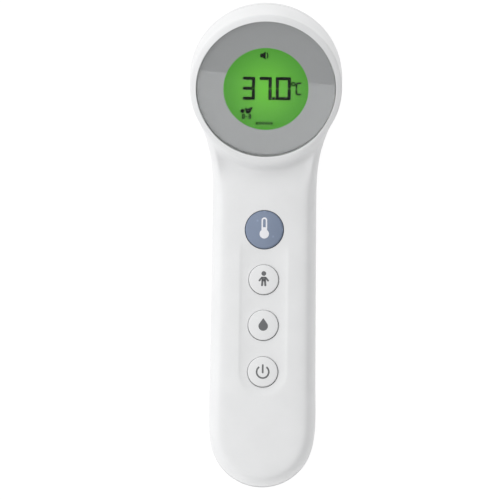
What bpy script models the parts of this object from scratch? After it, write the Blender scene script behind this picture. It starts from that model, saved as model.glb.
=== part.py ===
"""A no-touch infrared thermometer: a tilted round display head on a straight handle.

The thermometer lies on its flat back. +Z comes out of the front face, +Y runs along the handle toward the
head and +X is to the right. z = 0 is the flat back, and x = y = 0 is the middle of the whole object.
Sizes in this file are millimetres. The helpers turn them into metres.
"""

import math

import bmesh
import bpy
from mathutils import Vector

MM = 0.001
GAP = 0.3

# The handle: a straight bar with a flat back, a nearly flat front face and a half-elliptical bottom end.
THICKNESS = 25.0
PARTING = THICKNESS / 2
WALL = 2.0
NECK_HALF_WIDTH = 16.6
LOW_HALF_WIDTH = 17.0
NECK_Y = 20.0
LOW_Y = -50.0
END_Y = -60.1
END_LENGTH = 17.4
REAR_OVERHANG = 0.35
FACE_INSET = 3.9
CROWN = 0.35

# The head: a round bowl whose axis leans toward the handle. Its own frame has +Z along that axis.
TILT = math.radians(17.0)
RIM_CENTRE = Vector((0.0, 49.7, 36.0))
RIM_RADIUS = 24.35
HEAD_DEPTH = 13.0
BEND_LENGTH = 20.0
FLARE_SLOPE = math.tan(math.radians(19.5))
FLARE_START = 20.0
FLARE_END = 38.0

# The cages of the two shells: 16 spokes round the head, and rows of points down the handle.
SPOKES = 16
SPOKE_STEP = 2 * math.pi / SPOKES
FIRST_SPOKE = -math.pi / 4
ARC_SPOKES = 13
CORNER_S = 38.5
ROWS = (33.0, 27.5, 21.0, 15.5, 8.5, 1.0, -6.0, -19.0, -33.0, -47.0, END_Y)
END_ANGLES = (-150, -120, -90, -60, -30)
COLUMNS = (-1.0, -0.5, 0.0, 0.5, 1.0)
END_ROW_DIP = 2.5
# A cubic curve runs inside its control points. These factors put the round ends back on their radius.
SPOKE_GAIN = 3 / (2 + math.cos(SPOKE_STEP))
END_GAIN = 3 / (2 + math.cos(math.radians(30)))

# Loops of each cage, outside to inside: head radius, head height, handle inset, handle height.
FRONT_LOOPS = (
    (24.4, 0.15, 0.0, 0.15),
    (24.4, 4.0, 0.05, 4.0),
    (24.2, 8.4, 0.75, 8.4),
    (24.3, 11.4, 2.2, 11.2),
)
REAR_LOOPS = (
    (24.4, -0.15, 0.0, -0.15),
    (24.3, -2.8, 0.0, -2.8),
    (22.9, -6.8, 1.0, -6.8),
    (19.4, -10.6, 3.2, -10.6),
    (15.6, -12.8, 6.4, -12.5),
)
REAR_RINGS = ((13.2, -13.7), (10.6, -14.3))

# Where the head's wall runs down into the handle's face, by column: the y and z of the wall's foot, and of
# the hollow under it. The two rows are spread a little wider than the face.
FOOT = {-1.0: (30.6, 27.3), -0.5: (26.2, 26.2), 0.0: (25.0, 26.0), 0.5: (26.2, 26.2), 1.0: (30.6, 27.3)}
HOLLOW = {-1.0: (26.0, 24.9), -0.5: (24.0, 25.0), 0.0: (23.3, 25.0), 0.5: (24.0, 25.0), 1.0: (26.0, 24.9)}
FOOT_SPREAD = 1.15
HOLLOW_SPREAD = 1.02

# Buttons: place along the handle and radius of the well each one moves in.
MEASURE_Y = 4.7
AGE_Y = -11.3
OBJECT_Y = -25.9
POWER_Y = -40.8
BUTTONS = {
    "measure": (MEASURE_Y, 6.3),
    "age": (AGE_Y, 5.1),
    "object": (OBJECT_Y, 5.1),
    "power": (POWER_Y, 5.1),
}
CHANNEL_HALF_WIDTH = 7.65
CHANNEL_DEPTH = 0.5
DOME_RISE = 0.3
PROUD_DOME_RISE = 0.5
PROUD_STEP = 0.35
FLANGE = 0.6
FLANGE_Z = (22.05, 22.65)
STEM_RADIUS = 2.6
STEM_LOW = 21.55
SWITCH_TOP = 20.6
PLUNGER = (1.6, 20.2, 21.1)

# The stack inside the handle, bottom to top.
CELL_RADIUS = 7.0
CELL_LENGTH = 50.5
CELL_X = 7.15
CELL_Z = WALL + 0.6 + CELL_RADIUS
TRAY_Z = (17.1, 18.1)
BOARD_Z = (18.5, 19.5)
SEAL_Z = (21.0, 21.4)
INNER_FACE = THICKNESS - WALL
DOOR_Y = -5.2
DOOR_TOP = 9.0
BAY_Y = (-64.5, -6.4)
NECK_SCREW = (9.6, 1.5)
SEAT_Z = 3.2
TRAY_SCREWS_Y = (-69.6, -33.35)
BOARD_SCREW_Y = -3.9

# The stack inside the head, as distances along the head axis from the rim. The nose is at the far end.
LENS_RADIUS = 21.9
LENS = (-1.3, -0.15)
MASK = (-1.8, -1.6)
GASKET = (-2.3, -2.1)
GLASS = (-4.6, -2.1)
GLASS_HALF = 14.0
LEDGE = (-4.0, -2.6)
LEDGE_BORE = 20.2
WINDOW_RADIUS = 13.5
BACKLIGHT = (-6.6, -4.9)
DISPLAY_FRAME = (-7.6, -4.3)
DISPLAY_BOARD = (-9.0, -8.0)
SENSOR_BOARD = (-16.3, -15.3)
NOSE_END = -33.8
NOSE_RADIUS = 11.4
NOSE_BORE = 12.5
PIPE_REACH = 9.2
BOARD_SCREW_REACH = 17.8
BOARD_SCREW_ANGLES = (0, 90, 180)


def clear_scene():
    for obj in list(bpy.data.objects):
        bpy.data.objects.remove(obj, do_unlink=True)


def new_collection(name):
    collection = bpy.data.collections.new(name)
    bpy.context.scene.collection.children.link(collection)
    return collection


clear_scene()
PARTS = new_collection("infrared_thermometer")
CUTTERS = new_collection("cutters")
CUTTERS.hide_render = True


def make_material(name, colour, roughness, metallic=0.0, transmission=0.0):
    material = bpy.data.materials.new(name)
    material.use_nodes = True
    shader = material.node_tree.nodes["Principled BSDF"]
    shader.inputs["Base Color"].default_value = (*colour, 1.0)
    shader.inputs["Roughness"].default_value = roughness
    shader.inputs["Metallic"].default_value = metallic
    shader.inputs["Transmission Weight"].default_value = transmission
    material.diffuse_color = (*colour, 1.0)
    return material


WHITE = make_material("white_plastic", (0.84, 0.85, 0.86), 0.38)
BUTTON_WHITE = make_material("button_white", (0.80, 0.81, 0.82), 0.42)
BUTTON_BLUE = make_material("button_blue", (0.25, 0.32, 0.47), 0.40)
MASK_GREY = make_material("mask_grey", (0.33, 0.33, 0.34), 0.45)
CLEAR = make_material("clear_plastic", (0.95, 0.97, 0.97), 0.05, transmission=1.0)
SCREEN_GREEN = make_material("screen_green", (0.17, 0.42, 0.08), 0.25)
LIGHT_GUIDE = make_material("light_guide", (0.90, 0.95, 0.90), 0.30, transmission=0.6)
LIGHT_GREY = make_material("light_grey_plastic", (0.60, 0.61, 0.62), 0.50)
BLACK = make_material("black_plastic", (0.03, 0.03, 0.035), 0.55)
BOARD_GREEN = make_material("board_green", (0.03, 0.20, 0.08), 0.50)
RUBBER = make_material("silicone", (0.35, 0.36, 0.37), 0.80)
STEEL = make_material("steel", (0.62, 0.62, 0.63), 0.30, metallic=1.0)
BRASS = make_material("brass", (0.75, 0.58, 0.28), 0.30, metallic=1.0)
CELL_WRAP = make_material("cell_wrap", (0.05, 0.16, 0.10), 0.35)
RED_WIRE = make_material("red_wire", (0.55, 0.03, 0.03), 0.45)
BLACK_WIRE = make_material("black_wire", (0.02, 0.02, 0.02), 0.45)
AMBER = make_material("cable_amber", (0.55, 0.28, 0.05), 0.40)


def add_object(name, data, material, at=(0, 0, 0), parent=None, collection=None):
    """A new object of this data, with its origin at a place given in millimetres."""
    obj = bpy.data.objects.new(name, data)
    (collection or PARTS).objects.link(obj)
    obj.location = Vector(at) * MM
    obj.parent = parent
    if material:
        data.materials.append(material)
    return obj


def add_cutter(name, data, at=(0, 0, 0), parent=None):
    obj = add_object(name, data, None, at, parent, CUTTERS)
    obj.hide_render = True
    obj.display_type = "WIRE"
    return obj


def mesh_from(name, bm):
    mesh = bpy.data.meshes.new(name)
    bm.to_mesh(mesh)
    bm.free()
    return mesh


def box_mesh(size, centre=(0, 0, 0)):
    bm = bmesh.new()
    bmesh.ops.create_cube(bm, size=1.0)
    bmesh.ops.scale(bm, vec=Vector(size) * MM, verts=bm.verts)
    bmesh.ops.translate(bm, vec=Vector(centre) * MM, verts=bm.verts)
    return mesh_from("box", bm)


def box_between(lows_and_highs):
    """A box mesh between an x, a y and a z range."""
    size = [high - low for low, high in lows_and_highs]
    centre = [(high + low) / 2 for low, high in lows_and_highs]
    return box_mesh(size, centre)


def cylinder_mesh(radius, low, high, segments=32, centre=(0, 0)):
    bm = bmesh.new()
    sizes = {"radius1": radius * MM, "radius2": radius * MM, "depth": (high - low) * MM}
    bmesh.ops.create_cone(bm, cap_ends=True, segments=segments, **sizes)
    shift = Vector((centre[0], centre[1], (high + low) / 2)) * MM
    bmesh.ops.translate(bm, vec=shift, verts=bm.verts)
    return mesh_from("cylinder", bm)


def profile_mesh(points, closed):
    """The half-section of a turned piece: radius and height of each point, down the outer side."""
    bm = bmesh.new()
    verts = [bm.verts.new((radius * MM, 0, height * MM)) for radius, height in points]
    for first, second in zip(verts, verts[1:]):
        bm.edges.new((first, second))
    if closed:
        bm.edges.new((verts[-1], verts[0]))
    return mesh_from("profile", bm)


def turn(obj, steps):
    screw = obj.modifiers.new("turn", "SCREW")
    screw.steps = steps
    screw.render_steps = steps
    screw.use_merge_vertices = True
    screw.merge_threshold = 0.00001
    return obj


def add_turned(name, points, material, at=(0, 0, 0), parent=None, steps=32, closed=False):
    return turn(add_object(name, profile_mesh(points, closed), material, at, parent), steps)


def circle_points(radius, count=32, centre=(0, 0)):
    angles = [2 * math.pi * index / count for index in range(count)]
    return [(centre[0] + radius * math.cos(a), centre[1] + radius * math.sin(a)) for a in angles]


def rectangle_points(x_range, y_range):
    (left, right), (low, high) = x_range, y_range
    return [(left, low), (right, low), (right, high), (left, high)]


def add_plate(name, outlines, z_range, material, parent=None):
    """A flat piece: the first outline is its edge and the others are holes through it."""
    curve = bpy.data.curves.new(name, "CURVE")
    curve.dimensions = "2D"
    curve.fill_mode = "BOTH"
    low, high = z_range
    curve.extrude = (high - low) / 2 * MM
    for outline in outlines:
        spline = curve.splines.new("POLY")
        spline.points.add(len(outline) - 1)
        for point, (x, y) in zip(spline.points, outline):
            point.co = (x * MM, y * MM, 0, 1)
        spline.use_cyclic_u = True
    return add_object(name, curve, material, (0, 0, (low + high) / 2), parent)


def smooth_route(points, per_span=5):
    """Points read from a smooth curve through the given ones."""
    ends = [2 * points[0] - points[1], *points, 2 * points[-1] - points[-2]]
    route = []
    for before, first, second, after in zip(ends, ends[1:], ends[2:], ends[3:]):
        for step in range(per_span):
            t = step / per_span
            route.append(
                0.5 * (2 * first + (second - before) * t)
                + 0.5 * (2 * before - 5 * first + 4 * second - after) * t * t
                + 0.5 * (3 * first - before - 3 * second + after) * t**3
            )
    return [*route, points[-1]]


def add_wire(name, points, radius, material, parent=None):
    curve = bpy.data.curves.new(name, "CURVE")
    curve.dimensions = "3D"
    curve.bevel_depth = radius * MM
    curve.bevel_resolution = 2
    curve.use_fill_caps = True
    spline = curve.splines.new("POLY")
    spline.points.add(len(points) - 1)
    for point, place in zip(spline.points, points):
        point.co = (*(place * MM), 1)
    return add_object(name, curve, material, parent=parent)


def add_ribbon(name, points, width, thickness, material):
    """A flat cable, level from side to side, that bends as it runs."""
    bm = bmesh.new()
    rows = []
    for place in smooth_route(points):
        across = Vector((width / 2, 0, 0))
        rows.append([bm.verts.new((place + side * across) * MM) for side in (-1, 1)])
    for first, second in zip(rows, rows[1:]):
        bm.faces.new((first[0], first[1], second[1], second[0]))
    obj = add_object(name, mesh_from(name, bm), material)
    solid = obj.modifiers.new("thickness", "SOLIDIFY")
    solid.thickness = thickness * MM
    solid.offset = 0
    return obj


def bevel(obj, width, segments=2, angle=40):
    modifier = obj.modifiers.new("edges", "BEVEL")
    modifier.width = width * MM
    modifier.segments = segments
    modifier.limit_method = "ANGLE"
    modifier.angle_limit = math.radians(angle)
    return obj


def boolean(obj, other, operation="DIFFERENCE"):
    modifier = obj.modifiers.new(operation.lower(), "BOOLEAN")
    modifier.operation = operation
    modifier.object = other
    return obj


def shade(obj, angle=35):
    if obj.type == "MESH":
        obj.data.shade_smooth()
        obj.data.set_sharp_from_angle(angle=math.radians(angle))


# The bend between the handle and the head. A place on the body is given by x, the length s along a line that
# follows the body in the parting plane, and the height h above that line.
RIM_TO_LINE = RIM_CENTRE - HEAD_DEPTH * Vector((0, -math.sin(TILT), math.cos(TILT)))
BEND_MIDDLE = RIM_TO_LINE.y - (RIM_TO_LINE.z - PARTING) / math.tan(TILT)
HEAD_S = BEND_MIDDLE + (RIM_TO_LINE.z - PARTING) / math.sin(TILT)
BEND_RADIUS = BEND_LENGTH / 2 / math.tan(TILT / 2)
BEND_START = BEND_MIDDLE - BEND_LENGTH / 2
BEND_ARC = BEND_RADIUS * TILT


def body_line(s):
    """The y, the z and the slope of the line at the length s along it."""
    if s < BEND_START:
        return s, PARTING, 0.0
    past = min(s - BEND_START, BEND_ARC)
    slope = past / BEND_RADIUS
    y = BEND_START + BEND_RADIUS * math.sin(slope)
    z = PARTING + BEND_RADIUS * (1 - math.cos(slope))
    rest = max(s - BEND_START - BEND_ARC, 0.0)
    return y + rest * math.cos(slope), z + rest * math.sin(slope), slope


def bent(x, s, h):
    y, z, slope = body_line(s)
    return Vector((x, y - h * math.sin(slope), z + h * math.cos(slope)))


def half_width(s):
    """Half the width of the body's outline: slightly wider low down, and flared into the head."""
    low = min(max((NECK_Y - s) / (NECK_Y - LOW_Y), 0.0), 1.0)
    width = NECK_HALF_WIDTH + (LOW_HALF_WIDTH - NECK_HALF_WIDTH) * low
    if s <= FLARE_START:
        return width
    curved = min(s, FLARE_END) - FLARE_START
    width += FLARE_SLOPE * curved**2 / (2 * (FLARE_END - FLARE_START))
    return width + FLARE_SLOPE * max(s - FLARE_END, 0.0)


def blend(value, low, high):
    t = min(max((value - low) / (high - low), 0.0), 1.0)
    return t * t * (3 - 2 * t)


def face_share(s):
    """How high the handle's face lies above the line at s, as a share of its height on the handle."""
    _, z, slope = body_line(s)
    level = (THICKNESS - z) / math.cos(slope) / PARTING
    return level + (1 - level) * blend(s, 26.0, 42.0)


def spoke_point(spoke, radius, height):
    angle = FIRST_SPOKE + spoke * SPOKE_STEP
    reach = radius * SPOKE_GAIN
    return bent(reach * math.cos(angle), HEAD_S + reach * math.sin(angle), height)


def end_point(angle, inset, height, overhang=0.0):
    """A point on the half-ellipse that closes the bottom of the handle."""
    across = (LOW_HALF_WIDTH - inset) * END_GAIN * math.cos(angle)
    along = (END_LENGTH + overhang - inset) * END_GAIN * math.sin(angle)
    return bent(across, END_Y + along, height)


def cage_loop(head_radius, head_height, inset, height, front, overhang=0.0):
    """One closed loop round the body: the head's arc, the left side, the bottom end and the right side."""
    def side(s):
        wide = half_width(s) * (1.0 if s > END_Y else (1 + END_GAIN) / 2) - inset
        return wide, height * (face_share(s) if front else 1.0)

    arc = [spoke_point(spoke, head_radius, head_height) for spoke in range(1, ARC_SPOKES - 1)]
    corner_width, corner_height = side(CORNER_S)
    right_corner = bent(corner_width, CORNER_S, corner_height)
    left_corner = bent(-corner_width, CORNER_S, corner_height)
    left = []
    right = []
    for s in ROWS:
        wide, high = side(s)
        left.append(bent(-wide, s, high))
        right.append(bent(wide, s, high))
    end = [end_point(math.radians(angle), inset, height, overhang) for angle in END_ANGLES]
    return [right_corner, *arc, left_corner, *left, *end, *reversed(right)]


def fill_cage(bm, loops, grid_inside, facing, rings, upward):
    """Builds the quads between the loops, over the handle's face and round the head's rings."""
    rows = len(ROWS) + 1
    rings_of_verts = [[bm.verts.new(point * MM) for point in loop] for loop in loops]
    for outer, inner in zip(rings_of_verts, rings_of_verts[1:]):
        for index in range(len(outer)):
            after = (index + 1) % len(outer)
            bm.faces.new((outer[index], outer[after], inner[after], inner[index]))
    edge = rings_of_verts[-1]
    facing_verts = [bm.verts.new(point * MM) for point in facing]
    grid = [[edge[ARC_SPOKES - 1], *facing_verts, edge[0]]]
    for row in range(1, rows):
        inside = [bm.verts.new(point * MM) for point in grid_inside[row - 1]]
        grid.append([edge[ARC_SPOKES - 1 + row], *inside, edge[-row]])
    first_end = ARC_SPOKES + len(ROWS)
    grid.append(edge[first_end:first_end + len(COLUMNS)])
    for upper, lower in zip(grid, grid[1:]):
        for column in range(len(COLUMNS) - 1):
            bm.faces.new((upper[column], lower[column], lower[column + 1], upper[column + 1]))
    circle = [*edge[:ARC_SPOKES], *facing_verts]
    for ring in rings:
        inner = [bm.verts.new(point * MM) for point in ring]
        for index in range(SPOKES):
            after = (index + 1) % SPOKES
            bm.faces.new((circle[index], circle[after], inner[after], inner[index]))
        circle = inner
    if not upward:
        bmesh.ops.reverse_faces(bm, faces=bm.faces)


def face_point(column, y):
    """A point on the handle's front face, which is slightly crowned from side to side."""
    reach = half_width(min(y, NECK_Y)) - FACE_INSET
    return Vector((column * reach, y, THICKNESS - CROWN * column**2))


def front_cage():
    bm = bmesh.new()
    loops = [cage_loop(*loop, front=True) for loop in FRONT_LOOPS]
    # The innermost loop is the rim's edge round the head and the edge of the handle's face.
    edge = [spoke_point(spoke, RIM_RADIUS, HEAD_DEPTH) for spoke in range(ARC_SPOKES)]
    grid = []
    for column in COLUMNS:
        reach = (NECK_HALF_WIDTH - FACE_INSET) * column
        high = [
            Vector((reach * FOOT_SPREAD, *FOOT[column])),
            Vector((reach * HOLLOW_SPREAD, *HOLLOW[column])),
        ]
        low = [face_point(column, s) for s in ROWS[2:-1]]
        low.append(face_point(column, END_Y - END_ROW_DIP * (1 - abs(column))))
        grid.append(high + low)
    rows = list(zip(*grid))
    left = [row[0] for row in rows]
    right = [row[-1] for row in rows]
    end = [end_point(math.radians(angle), FACE_INSET, PARTING - CROWN) for angle in END_ANGLES]
    loops.append([*edge, *left, *end, *reversed(right)])
    facing = [spoke_point(spoke, RIM_RADIUS, HEAD_DEPTH) for spoke in range(ARC_SPOKES, SPOKES)]
    fill_cage(bm, loops, [row[1:-1] for row in rows], facing, [], True)
    return mesh_from("front_cage", bm)


def rear_cage():
    bm = bmesh.new()
    loops = [cage_loop(*loop, front=False, overhang=REAR_OVERHANG) for loop in REAR_LOOPS]
    radius, height, inset, flat = REAR_LOOPS[-1]
    loops[-1][0] = spoke_point(0, radius, height)
    loops[-1][ARC_SPOKES - 1] = spoke_point(ARC_SPOKES - 1, radius, height)
    rows = []
    for s in ROWS:
        reach = half_width(min(s, NECK_Y)) - inset
        dip = END_ROW_DIP if s == END_Y else 0.0
        rows.append([bent(column * reach, s - dip * (1 - abs(column)), flat) for column in COLUMNS])
    for row, points in enumerate(rows):
        loops[-1][ARC_SPOKES + row] = points[0]
        loops[-1][-1 - row] = points[-1]
    facing = [spoke_point(spoke, radius, height) for spoke in range(ARC_SPOKES, SPOKES)]
    rings = [[spoke_point(spoke, *ring) for spoke in range(SPOKES)] for ring in REAR_RINGS]
    fill_cage(bm, loops, [points[1:-1] for points in rows], facing, rings, False)
    return mesh_from("rear_cage", bm)


def add_shell(name, cage):
    """A moulded shell: a smooth skin on the cage, thickened inward."""
    obj = add_object(name, cage, WHITE)
    smooth = obj.modifiers.new("skin", "SUBSURF")
    smooth.levels = 1
    smooth.render_levels = 1
    thick = obj.modifiers.new("wall", "SOLIDIFY")
    thick.thickness = WALL * MM
    thick.offset = -1
    thick.use_even_offset = True
    shade(obj)
    return obj


HEAD = add_object("head_axis", None, None, RIM_CENTRE)
HEAD.rotation_euler.x = TILT


def cylinders_mesh(cylinders, segments=20):
    """Several upright cylinders in one mesh, each as x, y, radius, low and high."""
    bm = bmesh.new()
    for x, y, radius, low, high in cylinders:
        single = cylinder_mesh(radius, low, high, segments, (x, y))
        bm.from_mesh(single)
        bpy.data.meshes.remove(single)
    return mesh_from("cylinders", bm)


def hull_mesh(points):
    bm = bmesh.new()
    for point in points:
        bm.verts.new(Vector(point) * MM)
    bmesh.ops.convex_hull(bm, input=bm.verts)
    return mesh_from("hull", bm)


def meshed(obj):
    """The same piece as a mesh object with welded caps, so that it can be cut."""
    bpy.context.view_layer.update()
    graph = bpy.context.evaluated_depsgraph_get()
    mesh = bpy.data.meshes.new_from_object(obj.evaluated_get(graph))
    bm = bmesh.new()
    bm.from_mesh(mesh)
    bmesh.ops.remove_doubles(bm, verts=bm.verts, dist=0.000001)
    bm.to_mesh(mesh)
    bm.free()
    name = obj.name
    place = obj.matrix_world.copy()
    bpy.data.objects.remove(obj, do_unlink=True)
    solid = bpy.data.objects.new(name, mesh)
    PARTS.objects.link(solid)
    solid.matrix_world = place
    return solid


def front_bosses():
    """The posts inside the front shell that the screws run into, and the blind holes in them."""
    top = INNER_FACE + 0.6
    posts = [(side * NECK_SCREW[0], NECK_SCREW[1], 2.4, PARTING + 0.4, top) for side in (-1, 1)]
    posts += [(0, y, 1.7, BOARD_Z[1] + GAP, top) for y in (*TRAY_SCREWS_Y, BOARD_SCREW_Y)]
    holes = [(x, y, radius / 2, low - 1, INNER_FACE - 1) for x, y, radius, low, _ in posts]
    return cylinders_mesh(posts), cylinders_mesh(holes, 12)


def channel_mesh():
    """The shallow dish that the three lower buttons sit in, with sloping walls and round ends."""
    floor = (CHANNEL_HALF_WIDTH - 1.6, THICKNESS - CHANNEL_DEPTH)
    brim = (CHANNEL_HALF_WIDTH + 1.4, THICKNESS + 0.35)
    points = []
    for y, start in ((MEASURE_Y - 4, 0), (POWER_Y, math.pi)):
        for step in range(9):
            angle = start + math.pi * step / 8
            for radius, z in (brim, floor):
                points.append((radius * math.cos(angle), y + radius * math.sin(angle), z))
    return hull_mesh(points)


def ledge_profile():
    low, high = LEDGE
    outer = RIM_RADIUS - WALL / 2
    return [(outer, high), (outer, low), (LEDGE_BORE, low), (LEDGE_BORE, high)]


def add_front_shell():
    shell = add_shell("front_shell", front_cage())
    ledge = turn(add_cutter("ledge", profile_mesh(ledge_profile(), True), parent=HEAD), 48)
    boolean(shell, ledge, "UNION")
    posts, holes = front_bosses()
    boolean(shell, add_cutter("front_posts", posts), "UNION")
    wells = [(0, y, radius, INNER_FACE - 2, THICKNESS + 2) for y, radius in BUTTONS.values()]
    boolean(shell, add_cutter("channel", channel_mesh()))
    boolean(shell, add_cutter("wells", cylinders_mesh(wells, 32)))
    boolean(shell, add_cutter("front_screw_holes", holes))


def door_region(gap):
    """The corner of space that the battery door fills, grown by a gap."""
    return box_between(((-40, 40), (-100, DOOR_Y + gap - GAP), (-20, DOOR_TOP + gap)))


def add_rear_shell():
    shell = add_shell("rear_shell", rear_cage())
    x, y = NECK_SCREW
    posts = [(side * x, y, 2.9, 3.0, PARTING - 0.4) for side in (-1, 1)]
    feet = [(side * x, y, 2.6, 1.5, 4.0) for side in (-1, 1)]
    seats = [(side * x, y, 2.2, -5, SEAT_Z) for side in (-1, 1)]
    holes = [(side * x, y, 1.25, -5, 20) for side in (-1, 1)]
    boolean(shell, add_cutter("rear_posts", cylinders_mesh(posts, 24)), "UNION")
    boolean(shell, add_cutter("rear_post_feet", cylinders_mesh(feet)), "UNION")
    boolean(shell, add_cutter("screw_seats", cylinders_mesh(seats)))
    boolean(shell, add_cutter("rear_screw_holes", cylinders_mesh(holes, 12)))
    boolean(shell, add_cutter("nose_hole", cylinder_mesh(NOSE_BORE, -40, -20, 48), parent=HEAD))
    boolean(shell, add_cutter("door_opening", door_region(GAP)))


def add_battery_door():
    """The back of the handle over the cells. A tongue at its top edge hooks behind the rear shell."""
    door = add_shell("battery_door", rear_cage())
    boolean(door, add_cutter("door_limits", door_region(0)), "INTERSECT")
    riser = box_between(((-2.8, 2.8), (DOOR_Y - 3, DOOR_Y - 0.6), (WALL / 2, WALL + 1.2)))
    tongue = box_between(((-2.6, 2.6), (DOOR_Y - 2, DOOR_Y + 2.5), (WALL + GAP, WALL + 1.1)))
    boolean(door, add_cutter("tongue_riser", riser), "UNION")
    boolean(door, add_cutter("tongue", tongue), "UNION")
    for row in range(3):
        y = DOOR_Y - 6 - 2.2 * row
        groove = box_between(((-5.0, 5.0), (y - 0.5, y + 0.5), (-1, 0.5)))
        boolean(door, add_cutter(f"grip_groove_{row + 1}", groove))


def add_nose():
    profile = [
        (14.0, -22.2), (14.0, -23.6), (12.1, -23.6), (12.1, -27.2), (11.95, -30.0),
        (NOSE_RADIUS + 0.2, -32.6), (NOSE_RADIUS - 0.2, -33.4), (NOSE_RADIUS - 0.9, NOSE_END),
        (7.6, NOSE_END), (3.6, -28.6), (3.4, -27.6), (4.4, -27.6), (4.4, -26.2), (10.6, -26.2), (10.6, -22.2),
    ]
    nose = add_turned("sensor_nose", profile, LIGHT_GREY, parent=HEAD, steps=36, closed=True)
    hole = cylinder_mesh(1.05, NOSE_END - 2, -25, 12, (0, PIPE_REACH))
    boolean(nose, add_cutter("pipe_hole", hole, parent=HEAD))
    shade(nose)


def add_screw(name, at, head_radius, head_height, shaft_radius, shaft_length, parent=None):
    """A screw that points up: its head's underside is at the place given, and a cross is cut in its head."""
    profile = [
        (0, shaft_length), (shaft_radius * 0.4, shaft_length), (shaft_radius, shaft_length - 0.8),
        (shaft_radius, 0), (head_radius, 0), (head_radius, -head_height * 0.6),
        (head_radius * 0.7, -head_height), (0, -head_height),
    ]
    screw = add_turned(name, profile, STEEL, at, parent, steps=12)
    long, wide = head_radius * 1.1, head_radius * 0.28
    for number, size in enumerate(((long, wide), (wide, long)), 1):
        slot = box_mesh((*size, 1.0), (0, 0, -head_height))
        boolean(screw, add_cutter(f"{name}_slot_{number}", slot, at, parent))
    return screw


def add_screws():
    x, y = NECK_SCREW
    for number, side in enumerate((-1, 1), 1):
        add_screw(f"housing_screw_{number}", (side * x, y, SEAT_Z - GAP), 1.9, 1.4, 0.9, 15.0)
    for number, y in enumerate(TRAY_SCREWS_Y, 1):
        add_screw(f"tray_screw_{number}", (0, y, TRAY_Z[0] - GAP), 1.5, 1.1, 0.55, 4.6)
    add_screw("main_board_screw", (0, BOARD_SCREW_Y, BOARD_Z[0] - GAP), 1.2, 0.9, 0.55, 3.4)


def add_display():
    low, high = LENS
    lens = [(0, high), (LENS_RADIUS - 0.2, high), (LENS_RADIUS, high - 0.2), (LENS_RADIUS, low), (0, low)]
    shade(add_turned("display_lens", lens, CLEAR, parent=HEAD, steps=48))
    disc = circle_points(LENS_RADIUS, 48)
    add_plate("display_mask", [disc, circle_points(WINDOW_RADIUS, 36)], MASK, MASK_GREY, HEAD)
    add_plate("lens_gasket", [circle_points(21.5, 36), circle_points(20.5, 36)], GASKET, BLACK, HEAD)
    side = (-GLASS_HALF, GLASS_HALF)
    bevel(add_object("lcd_glass", box_between((side, side, GLASS)), SCREEN_GREEN, parent=HEAD), 0.2, 1)
    guide = box_between(((-13.8, 13.8), (-11.4, 13.8), BACKLIGHT))
    add_object("lcd_backlight", guide, LIGHT_GUIDE, parent=HEAD)
    strip = box_between(((-12.5, 12.5), (-13.8, -12.2), (DISPLAY_FRAME[0] - 0.1, BACKLIGHT[1])))
    bevel(add_object("lcd_connector", strip, BLACK, parent=HEAD), 0.3, 1)
    for name, side in (("left", -1), ("right", 1)):
        chip = box_mesh((1.6, 0.9, 0.8), (side * 8, 1.2, -7.3))
        add_object(f"backlight_led_{name}", chip, LIGHT_GUIDE, parent=HEAD)
    places = [math.radians(angle) for angle in BOARD_SCREW_ANGLES]
    spots = [(BOARD_SCREW_REACH * math.cos(a), BOARD_SCREW_REACH * math.sin(a)) for a in places]
    pocket = (-GLASS_HALF - GAP, GLASS_HALF + GAP)
    outlines = [circle_points(21.4, 48), rectangle_points(pocket, pocket)]
    frame = meshed(add_plate("lcd_frame", outlines, DISPLAY_FRAME, BLACK, HEAD))
    holes = [(x, y, 1.1, DISPLAY_BOARD[0], -5.0) for x, y in spots]
    boolean(frame, add_cutter("frame_holes", cylinders_mesh(holes, 12), parent=HEAD))
    board_holes = [circle_points(1.15, 12, spot) for spot in spots]
    add_plate("display_board", [circle_points(19.6, 48), *board_holes], DISPLAY_BOARD, BOARD_GREEN, HEAD)
    for number, (x, y) in enumerate(spots, 1):
        add_screw(f"display_screw_{number}", (x, y, DISPLAY_BOARD[0] - GAP), 1.6, 1.0, 0.8, 4.0, HEAD)


def add_sensor():
    window = [(0, -26.5), (4.1, -26.5), (4.1, -27.3), (0, -27.3)]
    shade(add_turned("sensor_window", window, BLACK, parent=HEAD))
    seal = [(7.0, -25.3), (7.0, -25.9), (5.0, -25.9), (5.0, -25.3)]
    shade(add_turned("sensor_gasket", seal, RUBBER, parent=HEAD, closed=True))
    sleeve = [(8.0, -16.9), (8.0, -24.6), (7.7, -24.9), (3.1, -24.9), (3.1, -16.9)]
    shade(add_turned("sensor_sleeve", sleeve, BRASS, parent=HEAD, closed=True))
    can = [(0, -21.4), (2.8, -21.4), (2.8, -22.0), (2.4, -22.0), (2.4, -25.7), (2.1, -26.1), (0, -26.1)]
    can = add_turned("sensor_can", can, STEEL, parent=HEAD, steps=24)
    pins = [(1.3 * math.cos(a), 1.3 * math.sin(a), 0.25, -21.7, -16.6) for a in (0.5, 2.6, 4.7)]
    boolean(can, add_cutter("can_pins", cylinders_mesh(pins, 8), parent=HEAD), "UNION")
    shade(can)
    add_plate("sensor_board", [circle_points(10.4, 40)], SENSOR_BOARD, BOARD_GREEN, HEAD)
    chip = box_mesh((1.6, 1.6, 1.0), (0, PIPE_REACH, -17.1))
    add_object("guide_led", chip, LIGHT_GUIDE, parent=HEAD)
    pipe = cylinder_mesh(0.8, -33.6, -17.9, 12, (0, PIPE_REACH))
    shade(add_object("light_pipe", pipe, CLEAR, parent=HEAD))


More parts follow.
